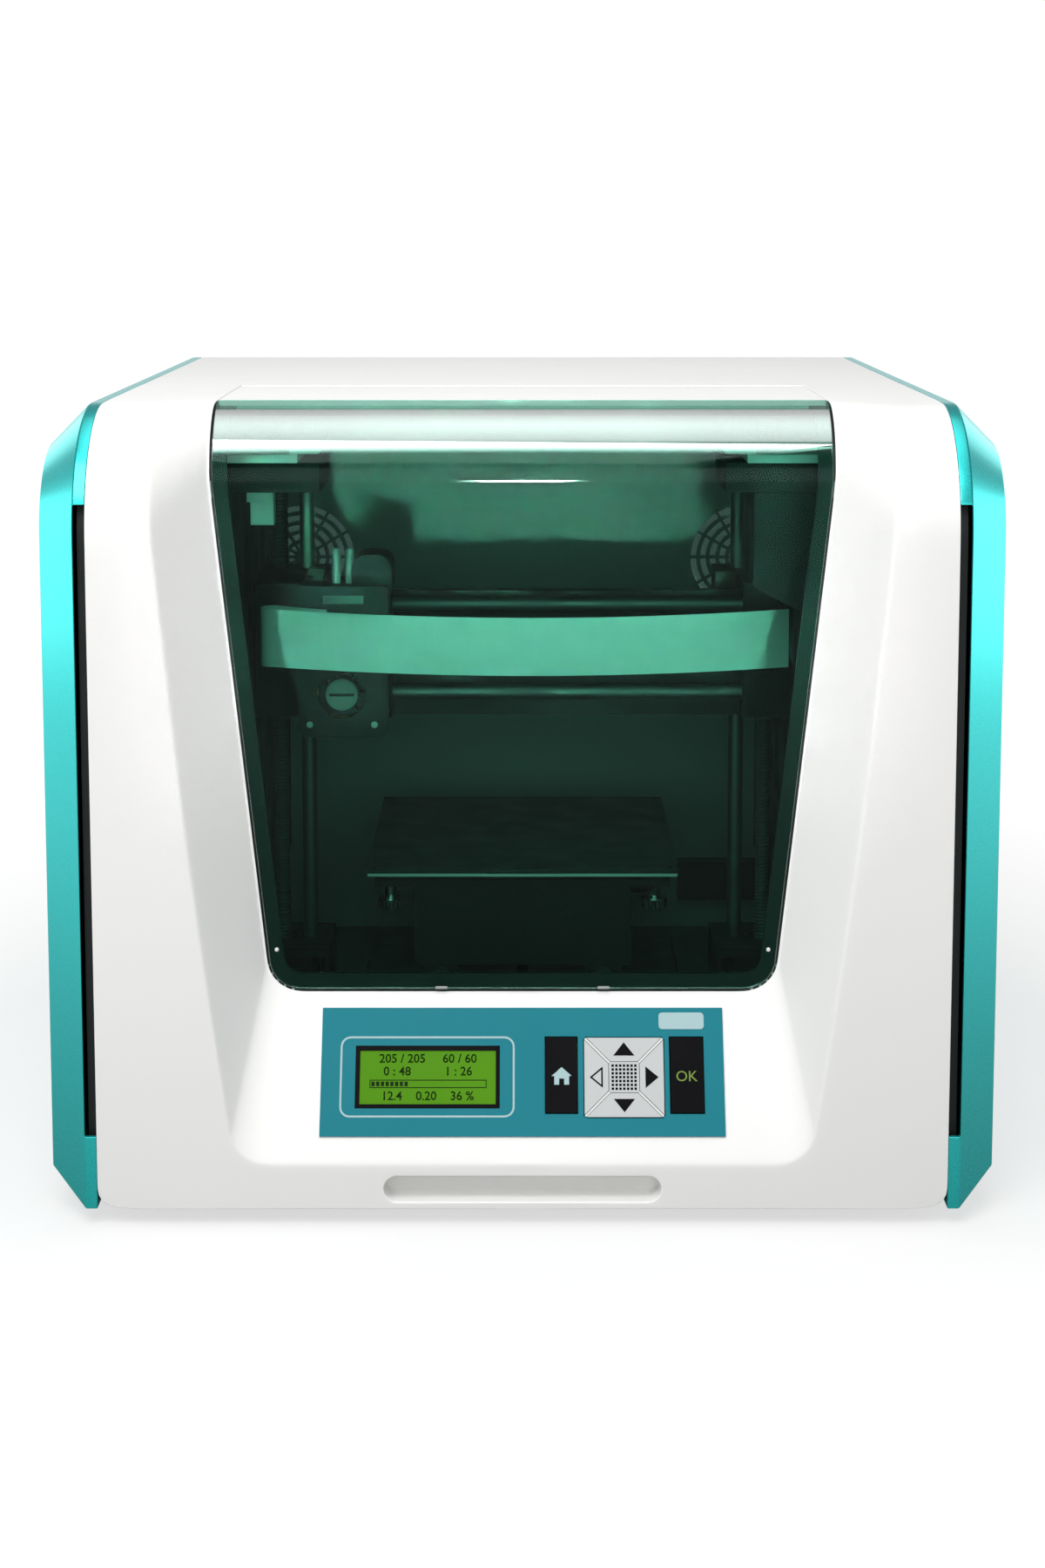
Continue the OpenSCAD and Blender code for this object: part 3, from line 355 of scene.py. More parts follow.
# Finish of each CAD node, and the radius of its edges in millimetres
FINISHES = {
    "rear_panel_white": {"rear_panel": 0.2},
    "shell_white": {"front_shell": 0.5, "top_cover": 0.5, "door_strip": 0.4,
                    "hinge_brackets": 0.3, "front_ledges": 0.4},
    "cover_teal": {"left_cover": 0.6, "right_cover": 0.6},
    "tray_black": {"base_tray": 0.4},
    "frame_black": {"side_frames": 0.3, "chamber_liners": 0.3,
                    "cable_housings": 0.6, "rod_mounts": 0.5},
    "black_plastic": {"left_bracket": 0.5, "right_bracket": 0.5, "head_housing": 0.4,
                      "carriage_block": 0.4, "head_fan": 0.2, "feed_lever": 0.3, "x_belt": 0,
                      "y_belt": 0, "spool_holder": 0.4, "rear_ports": 0.3, "power_rocker": 0.3,
                      "x_beam": 0.2, "bed_carriage": 0.4},
    "motor_black": {"z_motors": 0.4, "y_motor": 0.4, "x_motor": 0.4, "extruder_motor": 0.3},
    "rubber": {"rubber_feet": 0.6},
    "console_teal": {"console_panel": 0.1},
    "lcd_green": {"lcd_module": 0.05},
    "board_green": {"circuit_boards": 0.1},
    "guide_grey": {"filament_guide": 0.4},
    "steel": {"bed_springs": 0.2, "shell_screws": 0.15},
    # the rods and lead screws take the steel darkened as painted shade
    "steel_painted_shade": {"z_rods": 0.3, "y_rods": 0.3, "x_rods": 0.3, "z_screw_left": 0.1,
                   "z_screw_right": 0.1},
    "aluminium": {"x_pulley": 0.1, "x_idler": 0.1, "y_pulley": 0.1, "y_idler": 0.1,
                  "heat_sink": 0.1},
    "brass": {"z_nuts": 0.2, "hot_end": 0.2, "drive_gear": 0.1},
    "ribbon_teal": {"ribbon_cable": 0},
    "window_green": {"door_window": 0},
    "bed_black": {"bed_plate": 0.4},
    "spool_grey": {"spool": 0.5},
    "key_black": {"home_key": 0.25, "ok_key": 0.25},
    "key_white": {"up_key": 0.25, "down_key": 0.25, "left_key": 0.25, "right_key": 0.25},
}

for finish, members in FINISHES.items():
    for member, edge in members.items():
        dress(member, finish, edge)


# ---------------------------------------------------------------- mesh helpers
def points_mm(points):
    return [Vector(p) * MM for p in points]


def draw_line(bm, points):
    """Vertices joined in a row. Returns (vertices, edges)."""
    verts = [bm.verts.new(p) for p in points_mm(points)]
    edges = [bm.edges.new(pair) for pair in zip(verts, verts[1:])]
    return verts, edges


def extrude_line(bm, verts, edges, points):
    """Extrudes a row of edges and puts the new vertices on points. Returns the new row."""
    made = bmesh.ops.extrude_edge_only(bm, edges=edges)["geom"]
    fresh = {v for v in made if isinstance(v, bmesh.types.BMVert)}
    row = []
    for vert, point in zip(verts, points_mm(points)):
        twin = next(e.other_vert(vert) for e in vert.link_edges if e.other_vert(vert) in fresh)
        row.append(twin)
        twin.co = point
    links = [next(e for e in a.link_edges if e.other_vert(a) is b) for a, b in zip(row, row[1:])]
    return row, links


def skin(bm, columns):
    """A sheet through columns of points, each extruded from the one before."""
    row = draw_line(bm, columns[0])
    for column in columns[1:]:
        row = extrude_line(bm, *row, column)


def mirror_x(bm):
    """Adds the left half and joins it along the middle."""
    bmesh.ops.mirror(bm, geom=bm.verts[:] + bm.edges[:] + bm.faces[:], axis="X",
                     merge_dist=0.01 * MM)
    bmesh.ops.remove_doubles(bm, verts=bm.verts[:], dist=0.01 * MM)


def face_way(bm, way):
    """Turns an open sheet so that most of it faces the given way."""
    bmesh.ops.recalc_face_normals(bm, faces=bm.faces[:])
    lean = sum(f.normal.dot(Vector(way)) * f.calc_area() for f in bm.faces)
    if lean < 0:
        bmesh.ops.reverse_faces(bm, faces=bm.faces[:])


def add_form(bm, part):
    """Adds one bmesh to another."""
    mesh = bpy.data.meshes.new("part")
    part.to_mesh(mesh)
    part.free()
    bm.from_mesh(mesh)
    bpy.data.meshes.remove(mesh)


def as_object(name, bm):
    mesh = bpy.data.meshes.new(name)
    bm.to_mesh(mesh)
    bm.free()
    piece = bpy.data.objects.new(name, mesh)
    bpy.context.scene.collection.objects.link(piece)
    return piece


def subdivide(piece, levels):
    surface = piece.modifiers.new("round_form", "SUBSURF")
    surface.levels = levels
    surface.render_levels = levels
    surface.boundary_smooth = "PRESERVE_CORNERS"


def rounded_form(bm, levels):
    """The form after subdivision, as a new bmesh."""
    form = as_object("form", bm)
    subdivide(form, levels)
    graph = bpy.context.evaluated_depsgraph_get()
    fresh = bmesh.new()
    fresh.from_mesh(form.evaluated_get(graph).to_mesh())
    mesh = form.data
    bpy.data.objects.remove(form)
    bpy.data.meshes.remove(mesh)
    return fresh


def make_piece(name, bm, body, finish, replaces=()):
    """Turns a bmesh into a piece with a finish, which rides on a body if one is given."""
    piece = as_object(name, bm)
    piece.data.materials.append(MATERIALS[finish])
    if body:
        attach(piece, body)
    if replaces:
        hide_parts(*replaces)
    return piece


def thicken(piece, depth, side=-1):
    """Gives a sheet its wall: inwards, or to both sides of it with side 0."""
    wall = piece.modifiers.new("wall", "SOLIDIFY")
    wall.thickness = depth * MM
    wall.offset = side


def smooth(piece):
    piece.modifiers.new("smooth", "NODES").node_group = smooth_group()


# ---------------------------------------------------------------- body, in millimetres
FRONT_Y = cad_low.y / MM
TOP_Z = cad_high.z / MM
SHELL_HALF = 187.2
SHELL_WALL = 2.4
FOOT_H = 8
FRONT_ROLL = 55
SPLIT_Y = -48
WINDOW_Y = FRONT_Y + 35
WINDOW_ROLL = 35
WINDOW_Z = 96.5
WINDOW_T = 3
WINDOW_CORNER = 14.5
WINDOW_HALF = (114, 136.8, 137.5)
DOOR_GAP = 1
STRIP_GAP = 0.35
STRIP_REAR = -59
CONSOLE_Z = 28.4
# The opening for the console's panel: half its width, and its start and end up the slope
CONSOLE_CUT = (84, 17, 60)
RIDGE_CORNER = 17
RIDGE_HALF_LOW = 129
RIDGE_SIDE = ((140, 122), (148.5, 195), (155, 265), (159.2, TOP_Z - FRONT_ROLL))
RIDGE_HALF_TOP = 163
REBATE_IN = 6
REBATE_DEPTH = WINDOW_T + 0.2
# Places of the stations: across the straight lower edge, up the window's side, and back along
# the top beside the window and along the ridge
LOWER_X = (0, 28, 55, 70, 84, 94)
WINDOW_SIDE_Z = (150, 210, 270, TOP_Z - WINDOW_ROLL)
WINDOW_TOP_Y = (-115, -85, STRIP_REAR, SPLIT_Y)
RIDGE_TOP_Y = (-122, -88, STRIP_REAR, SPLIT_Y)


# A station is (half width, y, z, outline normal x and z, depth normal y and z)
def corner(half, y, z, r, steps=6):
    """Stations round the lower corner of an outline."""
    turns = [math.radians(90 * i / steps) for i in range(steps + 1)]
    return [(half - r + r * math.sin(b), y, z + r - r * math.cos(b), math.sin(b), -math.cos(b), 1, 0)
            for b in turns]


def roll(half0, half1, cy, cz, r, steps=9):
    """Stations over the top bend of an outline."""
    turns = [math.radians(90 * i / steps) for i in range(1, steps + 1)]
    return [(half0 + (half1 - half0) * 2 * a / math.pi, cy - r * math.cos(a), cz + r * math.sin(a),
             1, 0, math.cos(a), -math.sin(a)) for a in turns]


def lower_edge(y, z, xs):
    return [(x, y, z, 0, -1, 1, 0) for x in xs]


def top_edge(half, ys):
    return [(half, y, TOP_Z, 1, 0, 0, -1) for y in ys]


def at(station, out, depth):
    """A station's point, moved out along the outline and in along the depth."""
    half, y, z, nx, nz, dy, dz = station
    return Vector((half + out * nx, y + depth * dy, z + out * nz + depth * dz))


def window_side(zs):
    """Stations up the window's slanting side."""
    start = WINDOW_Z + WINDOW_CORNER
    slant = (WINDOW_HALF[1] - WINDOW_HALF[0]) / (TOP_Z - WINDOW_ROLL - start)
    return [(WINDOW_HALF[0] + slant * (z - start), WINDOW_Y, z, 1, 0, 1, 0) for z in zs]


def window_stations(top_ys):
    low, rise, top = WINDOW_HALF
    return (lower_edge(WINDOW_Y, WINDOW_Z, LOWER_X)
            + corner(low, WINDOW_Y, WINDOW_Z, WINDOW_CORNER)
            + window_side(WINDOW_SIDE_Z)
            + roll(rise, top, WINDOW_Y + WINDOW_ROLL, TOP_Z - WINDOW_ROLL, WINDOW_ROLL)
            + top_edge(top, top_ys))


def ridge_stations():
    spread = (RIDGE_HALF_LOW - RIDGE_CORNER) / (WINDOW_HALF[0] - WINDOW_CORNER)
    lower = [x if x <= CONSOLE_CUT[0] else x * spread for x in LOWER_X]
    side = [(half, FRONT_Y, z, 1, 0, 1, 0) for half, z in RIDGE_SIDE]
    return (lower_edge(FRONT_Y, CONSOLE_Z, lower)
            + corner(RIDGE_HALF_LOW, FRONT_Y, CONSOLE_Z, RIDGE_CORNER)
            + side + roll(RIDGE_SIDE[-1][0], RIDGE_HALF_TOP, FRONT_Y + FRONT_ROLL,
                          TOP_Z - FRONT_ROLL, FRONT_ROLL)
            + top_edge(RIDGE_HALF_TOP, RIDGE_TOP_Y))


def rim_point(station):
    """The point of the shell's outer edge that belongs to a station of the ridge."""
    half, y, z, nx, nz, _, _ = station
    if nx == 0:
        return Vector((half, y, FOOT_H))
    if nx == 1:
        return Vector((SHELL_HALF, y, z))
    share = math.degrees(math.asin(nx)) / 45
    if share < 1.001:
        inner = RIDGE_HALF_LOW - RIDGE_CORNER
        return Vector((inner + (SHELL_HALF - inner) * min(share, 1), y, FOOT_H))
    first_side = CONSOLE_Z + RIDGE_CORNER
    return Vector((SHELL_HALF, y, FOOT_H + (first_side - FOOT_H) * (share - 1)))


def hem_point(rim):
    """Where the shell's hidden wall ends, behind a point of its outer edge."""
    if rim.z > FOOT_H:
        return Vector((rim.x, SPLIT_Y, min(rim.z, TOP_Z - FRONT_ROLL)))
    return Vector((rim.x, FRONT_Y + HEM_LOW, rim.z))


# ---------------------------------------------------------------- front shell
# Distances from an edge at which a neighbouring row of the form holds it
CORNER_HOLD = 0.3
LIP_HOLD = 1.5
RIDGE_HOLD = (3.2, 3)
RIM_HOLD = (1.9, 0.6)
# Depth of the row that holds the lip of the gap round the door, and how far the hem runs back
# under the feet
LIP_DEPTH = 0.6
HEM_LOW = 15


def door_gaps(stations):
    return [STRIP_GAP if s[2] > TOP_Z - 0.1 else DOOR_GAP for s in stations]


def shell_columns():
    """Columns of points from the door's rebate, over the ridge, to the outer edge and back."""
    window = window_stations(WINDOW_TOP_Y)
    ridge = ridge_stations()
    gaps = door_gaps(window)
    start = [at(w, gap + 1, 0) for w, gap in zip(window, gaps)]
    crest = [at(r, 0, 0) for r in ridge]
    rim = [rim_point(r) for r in ridge]
    up = [(a - c).normalized() for a, c in zip(start, crest)]
    out = [(o - c).normalized() for o, c in zip(rim, crest)]
    hem = [hem_point(o) for o in rim]
    back = [(h - o).normalized() if h != o else Vector((0, 0, 0)) for h, o in zip(hem, rim)]

    def gap_line(depth):
        return [at(w, gap, depth) for w, gap in zip(window, gaps)]

    return [[at(w, -REBATE_IN, REBATE_DEPTH) for w in window],
            [at(w, gap - CORNER_HOLD, REBATE_DEPTH) for w, gap in zip(window, gaps)],
            gap_line(REBATE_DEPTH),
            gap_line(REBATE_DEPTH - CORNER_HOLD),
            gap_line(LIP_DEPTH),
            gap_line(0),
            start,
            [a - n * LIP_HOLD for a, n in zip(start, up)],
            [c + (a - c) * 0.5 for a, c in zip(start, crest)],
            [c + n * RIDGE_HOLD[0] for c, n in zip(crest, up)],
            crest,
            [c + n * RIDGE_HOLD[1] for c, n in zip(crest, out)],
            [o - n * RIM_HOLD[0] for o, n in zip(rim, out)],
            [o - n * RIM_HOLD[1] for o, n in zip(rim, out)],
            rim,
            [o + n * RIM_HOLD[1] for o, n in zip(rim, back)],
            hem]


GRIP_HALF = 61
GRIP_Z = 17
GRIP_R = 5.75
GRIP_STEPS = 40
# The wall of the grip's pocket: how far outside its mouth, and how deep
GRIP_WALL = ((0.7, 0), (0.35, 0.09), (0.09, 0.35), (0, 0.7), (0, 9.5), (-0.33, 10.75),
             (-1.25, 11.67), (-2.5, 12))
# The patch of the flat front that is made anew round the grip: half its width, lowest, highest
GRIP_PATCH = (67, 10, 25.2)


def take_out(bm, test):
    """Deletes the faces whose centre, in millimetres, passes the test."""
    gone = [f for f in bm.faces if test(f.calc_center_median() / MM)]
    bmesh.ops.delete(bm, geom=gone, context="FACES")


def console_slope():
    """The foot of the console, and the direction up its slope."""
    foot = Vector((0, FRONT_Y, CONSOLE_Z))
    return foot, (Vector((0, WINDOW_Y, WINDOW_Z - 2)) - foot).normalized()


def cut_console(bm):
    foot, way = console_slope()
    half, low, high = CONSOLE_CUT

    def inside(c):
        along = (c - foot).dot(way)
        level = (c - foot - way * along).yz.length
        return abs(c.x) < half and low < along < high and level < 0.5

    take_out(bm, inside)


def grip_ring(wider, deep):
    """A closed row of points round the grip, moved outwards and into the front."""
    reach = GRIP_R + wider
    row = []
    for i in range(GRIP_STEPS + 1):
        turn = 2 * math.pi * (i + 0.5) / GRIP_STEPS
        end = math.copysign(GRIP_HALF - GRIP_R, math.cos(turn))
        row.append((end + reach * math.cos(turn), FRONT_Y + deep, GRIP_Z + reach * math.sin(turn)))
    return row


def grip_pocket():
    bm = bmesh.new()
    skin(bm, [grip_ring(*step) for step in GRIP_WALL])
    bmesh.ops.remove_doubles(bm, verts=bm.verts[:], dist=0.001 * MM)
    deepest = (FRONT_Y + GRIP_WALL[-1][1] - 0.01) * MM
    back = [e for e in bm.edges if e.is_boundary and e.verts[0].co.y > deepest]
    bmesh.ops.contextual_create(bm, geom=back)
    return bm


def cut_grip(bm):
    """The stadium slot in the low front, with its pocket."""
    half, low, high = GRIP_PATCH

    def inside(c):
        return abs(c.y - FRONT_Y) < 0.01 and abs(c.x) < half and low < c.z < high

    before = set(e for e in bm.edges if e.is_boundary)
    take_out(bm, inside)
    add_form(bm, grip_pocket())
    edges = [e for e in bm.edges if e.is_boundary and e not in before]
    bmesh.ops.triangle_fill(bm, edges=edges, use_beauty=True, normal=(0, -1, 0))


def make_front_shell():
    bm = bmesh.new()
    skin(bm, shell_columns())
    take_out(bm, lambda c: c.y > STRIP_REAR and c.x < WINDOW_HALF[2] + 0.5 and c.z < TOP_Z - 1)
    mirror_x(bm)
    bm = rounded_form(bm, 2)
    cut_console(bm)
    cut_grip(bm)
    face_way(bm, (0, -1, 0))
    shell = make_piece("front_shell_form", bm, "chassis", "shell_white", ("front_shell",))
    thicken(shell, SHELL_WALL)
    soften(shell, 0)


make_front_shell()


# ---------------------------------------------------------------- window and its seal
def make_window():
    """The clear sheet: flat below, bent back over the top."""
    bm = bmesh.new()
    outline = corner(WINDOW_HALF[0], WINDOW_Y, WINDOW_Z, WINDOW_CORNER, 12)
    outline += window_side((TOP_Z - WINDOW_ROLL,))
    right = [at(s, 0, 0) for s in outline]
    left = [Vector((-p.x, p.y, p.z)) for p in reversed(right)]
    verts = [bm.verts.new(p) for p in points_mm(right + left)]
    bm.faces.new(verts)
    top = bm.edges.get((verts[len(right) - 1], verts[len(right)]))
    axis = Vector((0, WINDOW_Y + WINDOW_ROLL, TOP_Z - WINDOW_ROLL)) * MM
    bmesh.ops.spin(bm, geom=[top], cent=axis, axis=(-1, 0, 0), angle=math.radians(90), steps=24)
    widen = (WINDOW_HALF[2] - WINDOW_HALF[1]) * MM
    for vert in bm.verts:
        turn = math.atan2(vert.co.z - axis.z, axis.y - vert.co.y)
        if turn > 0.001:
            vert.co.x += math.copysign(widen * turn * 2 / math.pi, vert.co.x)
    face_way(bm, (0, -1, 0))
    window = make_piece("door_window_sheet", bm, "door", "window_green", ("door_window",))
    thicken(window, WINDOW_T)
    soften(window, 0.5 * MM)


# The seal: its thickness, how far in from the window's outline and how near to the gap's wall it
# runs, and its depths from the chamber to the front
SEAL_T = 0.14
SEAL_IN = 6.3
SEAL_OFF = 0.12
SEAL_DEPTHS = (5.6, 3.03, 0.5)


def make_seal():
    """Black lining of the rebate that the window closes on, and of the gap round it."""
    path = window_stations(WINDOW_TOP_Y[:-1])
    bm = bmesh.new()
    rebate = [[at(s, -SEAL_IN, depth) for s in path] for depth in SEAL_DEPTHS[:2]]
    gap = [[at(s, gap - SEAL_OFF, depth) for s, gap in zip(path, door_gaps(path))]
           for depth in SEAL_DEPTHS[1:]]
    skin(bm, rebate + gap)
    mirror_x(bm)
    face_way(bm, (0, -1, 0))
    seal = make_piece("door_seal", bm, "chassis", "black_plastic")
    thicken(seal, SEAL_T)
    smooth(seal)


make_window()
make_seal()


# ---------------------------------------------------------------- console
CONSOLE_RISE = console_slope()[1]
CONSOLE_ANGLE = math.atan2(CONSOLE_RISE.z, CONSOLE_RISE.y)
# From the console's own millimetres (across, up the slope, out of it) to the frame
CONSOLE = (Matrix.Translation(Vector((0, FRONT_Y, CONSOLE_Z)) * MM)
           @ Matrix.Rotation(CONSOLE_ANGLE, 4, "X") @ Matrix.Scale(MM, 4))
CONSOLE_WAY = tuple(Matrix.Rotation(CONSOLE_ANGLE, 3, "X") @ Vector((0, 0, 1)))
PANEL_TOP = 1
LCD_TOP = 0.4
KEY_TOP = 1.4
PRINT_T = 0.1
PAD = (45.2, 37.6)
PAD_HALF = (17.7, 17.4)
PAD_CORE = 6.4
PAD_TILE_HALF = PAD_CORE + 0.3
PAD_DOTS = 7


def flat_form(points, level, radius=0):
    """A flat face through points, with its corners rounded."""
    bm = bmesh.new()
    bm.faces.new([bm.verts.new((u, v, level)) for u, v in points])
    if radius:
        bmesh.ops.bevel(bm, geom=bm.verts[:] + bm.edges[:], offset=radius, segments=5,
                        profile=0.5, affect="VERTICES", material=-1)
    return bm


def tile(u0, u1, v0, v1, level, radius=0):
    return flat_form(((u0, v0), (u1, v0), (u1, v1), (u0, v1)), level, radius)


def hollow(bm, width):
    """Leaves only a border of the given width."""
    bm.normal_update()
    ring = bmesh.ops.inset_region(bm, faces=bm.faces[:], thickness=width, use_boundary=True,
                                  use_even_offset=True)
    middle = [f for f in bm.faces if f not in ring["faces"]]
    bmesh.ops.delete(bm, geom=middle, context="FACES")
    return bm


def lettering(body, size, place, level, weight=0.0):
    """Flat characters, centred on a place of the console. weight thickens their strokes."""
    curve = bpy.data.curves.new("characters", "FONT")
    curve.body = body
    curve.size = size
    curve.offset = weight
    curve.resolution_u = 3
    curve.align_x = "CENTER"
    curve.align_y = "CENTER"
    text = bpy.data.objects.new("characters", curve)
    bpy.context.scene.collection.objects.link(text)
    graph = bpy.context.evaluated_depsgraph_get()
    bm = bmesh.new()
    bm.from_mesh(text.evaluated_get(graph).to_mesh())
    bpy.data.objects.remove(text)
    bpy.data.curves.remove(curve)
    bmesh.ops.remove_doubles(bm, verts=bm.verts[:], dist=0.001)
    bmesh.ops.translate(bm, verts=bm.verts[:], vec=(*place, level))
    return bm


def console_piece(name, forms, body, finish, depth=PRINT_T):
    """Thin raised shapes on the console, as one piece."""
    bm = bmesh.new()
    for form in forms:
        add_form(bm, form)
    bmesh.ops.transform(bm, matrix=CONSOLE, verts=bm.verts[:])
    way = Vector(CONSOLE_WAY)
    turned = [f for f in bm.faces if f.normal.dot(way) < 0]
    bmesh.ops.reverse_faces(bm, faces=turned)
    piece = make_piece(name, bm, body, finish)
    thicken(piece, depth)
    return piece


LCD_RECT = (-74.4, -10.1, 24, 51.5)
LCD_FACE = (-72.4, -11.9, 25.9, 49.4)
LCD_FRAME_T = 0.4
LCD_OUTLINE = (-81.2, -3.5, 20.1, 55.6)
LCD_ROWS = ((45.8, "205 / 205     60 / 60"), (40.2, "0 : 48          1 : 26"),
            (29.4, "12.4    0.20    36 %"))
LCD_SIZE = 5.4
# The bar on the display: its sides, its steps, and the share of them that is dark
LCD_BAR = (-68, -16, 33, 36.6)
LCD_BAR_LINE = 0.35
LCD_BAR_GAP = 0.8
LCD_BAR_STEPS = 24
LCD_BAR_DONE = 0.36
BADGE = (61, 81.2, 58.8, 66.2)


def bar_forms(top):
    """The outline of the display's bar and its dark steps."""
    left, right, low, high = LCD_BAR
    forms = [hollow(tile(*LCD_BAR, top), LCD_BAR_LINE)]
    pitch = (right - left - 2 * LCD_BAR_GAP) / LCD_BAR_STEPS
    for i in range(int(LCD_BAR_STEPS * LCD_BAR_DONE)):
        start = left + LCD_BAR_GAP + i * pitch
        forms.append(tile(start, start + pitch * 0.7, low + LCD_BAR_GAP, high - LCD_BAR_GAP, top))
    return forms


def make_lcd():
    """The display's raised frame, and its characters and bar."""
    u0, u1, v0, v1 = LCD_RECT
    a0, a1, b0, b1 = LCD_FACE
    sides = ((u0, a0, v0, v1), (a1, u1, v0, v1), (a0, a1, v0, b0), (a0, a1, b1, v1))
    frame_parts = [tile(*side, LCD_TOP + LCD_FRAME_T) for side in sides]
    console_piece("lcd_frame", frame_parts, "chassis", "key_black", LCD_FRAME_T)
    top = LCD_TOP + PRINT_T
    middle = (a0 + a1) / 2
    signs = [lettering(body, LCD_SIZE, (middle, row), top, 0.06) for row, body in LCD_ROWS]
    console_piece("lcd_characters", signs + bar_forms(top), "chassis", "lcd_ink")


def make_panel_print():
    """The outline round the display, and the blank badge."""
    top = PANEL_TOP + PRINT_T
    outline = hollow(tile(*LCD_OUTLINE, top, 4.5), 0.85)
    console_piece("lcd_outline", [outline], "chassis", "print_white")
    console_piece("badge", [tile(*BADGE, top + 0.1, 1.6)], "chassis", "print_white", 0.2)


HOUSE = ((-4.5, 0.2), (0, 4.1), (4.5, 0.2), (3.3, 0.2), (3.3, -3.6), (1.1, -3.6), (1.1, -0.9),
         (-1.1, -0.9), (-1.1, -3.6), (-3.3, -3.6), (-3.3, 0.2))
HOME_CENTRE = (17.4, 37.9)
OK_CENTRE = (73, 37.8)
ARROW = ((9.5, -4.7), (15.3, 0), (9.5, 4.7))


def make_key_signs():
    top = KEY_TOP + PRINT_T
    house = [(HOME_CENTRE[0] + u, HOME_CENTRE[1] + v) for u, v in HOUSE]
    console_piece("home_sign", [flat_form(house, top)], "home_key", "print_white")
    console_piece("ok_sign", [lettering("OK", 6.6, OK_CENTRE, top)], "ok_key", "ok_green")
    for i, name in enumerate(("right_key", "up_key", "left_key", "down_key")):
        turn = Matrix.Rotation(math.radians(90 * i), 2)
        arrow = [Vector(PAD) + turn @ Vector(p) for p in ARROW]
        form = flat_form([tuple(p) for p in arrow], top)
        if name == "left_key":
            hollow(form, 0.7)
        console_piece(name[:-4] + "_arrow", [form], name, "key_black")


def pad_bars(width, level):
    """The four bars from the pad's middle towards its corners."""
    slope = math.atan2(PAD_HALF[1], PAD_HALF[0])
    start = PAD_TILE_HALF * 1.38
    reach = math.hypot(*PAD_HALF) - 0.6
    bars = []
    for angle in (slope, math.pi - slope, math.pi + slope, -slope):
        bar = tile(start, reach, -width, width, level)
        bmesh.ops.rotate(bar, verts=bar.verts[:], matrix=Matrix.Rotation(angle, 3, "Z"))
        bmesh.ops.translate(bar, verts=bar.verts[:], vec=(*PAD, 0))
        bars.append(bar)
    return bars


def pad_dots():
    """A regular grid of square dots on the pad's middle."""
    u, v = PAD
    edge = 0.5
    pitch = 2 * (PAD_CORE - edge) / PAD_DOTS
    size = pitch * 0.32
    steps = [edge - PAD_CORE + pitch * (i + 0.5) for i in range(PAD_DOTS)]
    return [tile(u + x - size, u + x + size, v + y - size, v + y + size, PANEL_TOP + 0.5)
            for x in steps for y in steps]


def make_pad_centre():
    """The fixed middle of the pad: a pale tile with dots, and the ribs between the keys."""
    u, v = PAD
    half = PAD_TILE_HALF
    base = tile(u - half, u + half, v - half, v + half, PANEL_TOP + 0.4, 0.3)
    console_piece("pad_tile", [base], "chassis", "key_white", 0.4)
    console_piece("pad_ribs", pad_bars(0.52, PANEL_TOP + 0.3), "chassis", "key_white", 0.3)
    console_piece("pad_rib_lines", pad_bars(0.17, PANEL_TOP + 0.36), "chassis", "guide_grey", 0.06)
    console_piece("pad_dots", pad_dots(), "chassis", "key_black")


make_lcd()
make_panel_print()
make_key_signs()
make_pad_centre()


# ---------------------------------------------------------------- inside, in millimetres
RIBBON_Z = (220, 249)
RIBBON_T = 0.8
RIBBON_SAG = 4.5
RIBBON_RIGHT = 132
RIBBON_LOOP = (-124, -44)
RIBBON_LOOP_R = 6.5
RIBBON_END = -98
# How far the run behind the loop drops, and the steps of the run, the loop and the run behind it
RIBBON_DROP = 2.4
RIBBON_STEPS = (24, 12, 4)


def ribbon_path():
    """Points (x, y, drop) from the right bracket, round the loop, to the head."""
    cx, cy = RIBBON_LOOP
    r = RIBBON_LOOP_R - RIBBON_T / 2
    span = RIBBON_RIGHT - cx
    run, bend, rear = RIBBON_STEPS
    path = []
    for i in range(run + 1):
        share = i / run
        path.append((RIBBON_RIGHT - span * share, cy - r, RIBBON_SAG * 4 * share * (1 - share)))
    for i in range(1, bend):
        turn = math.radians(180 * i / bend)
        path.append((cx - r * math.sin(turn), cy - r * math.cos(turn), 0))
    for i in range(rear + 1):
        path.append((cx + (RIBBON_END - cx) * i / rear, cy + r, RIBBON_DROP * i / rear))
    return path


def make_ribbon():
    """The flat cable to the print head. It hangs a little."""
    path = ribbon_path()
    low, high = RIBBON_Z
    bm = bmesh.new()
    skin(bm, [[(x, y, z - drop) for x, y, drop in path] for z in (low, (low + high) / 2, high)])
    face_way(bm, (0, -1, 0))
    ribbon = make_piece("flat_cable", bm, None, "ribbon_teal", ("ribbon_cable",))
    thicken(ribbon, RIBBON_T, 0)
    smooth(ribbon)
    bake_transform(ribbon)


def turned(profile, place, axis="Z", steps=48):
    """A closed form spun from (radius, height) points about an axis through a place."""
    bm = bmesh.new()
    verts, edges = draw_line(bm, [(r, 0, h) for r, h in profile])
    bmesh.ops.spin(bm, geom=verts + edges, cent=(0, 0, 0), axis=(0, 0, 1), angle=2 * math.pi,
                   steps=steps, use_merge=True)
    bmesh.ops.remove_doubles(bm, verts=bm.verts[:], dist=0.001 * MM)
    if axis != "Z":
        about = {"X": "Y", "Y": "X"}[axis]
        bmesh.ops.rotate(bm, verts=bm.verts[:], matrix=Matrix.Rotation(math.radians(90), 3, about))
    bmesh.ops.translate(bm, verts=bm.verts[:], vec=Vector(place) * MM)
    bmesh.ops.recalc_face_normals(bm, faces=bm.faces[:])
    return bm


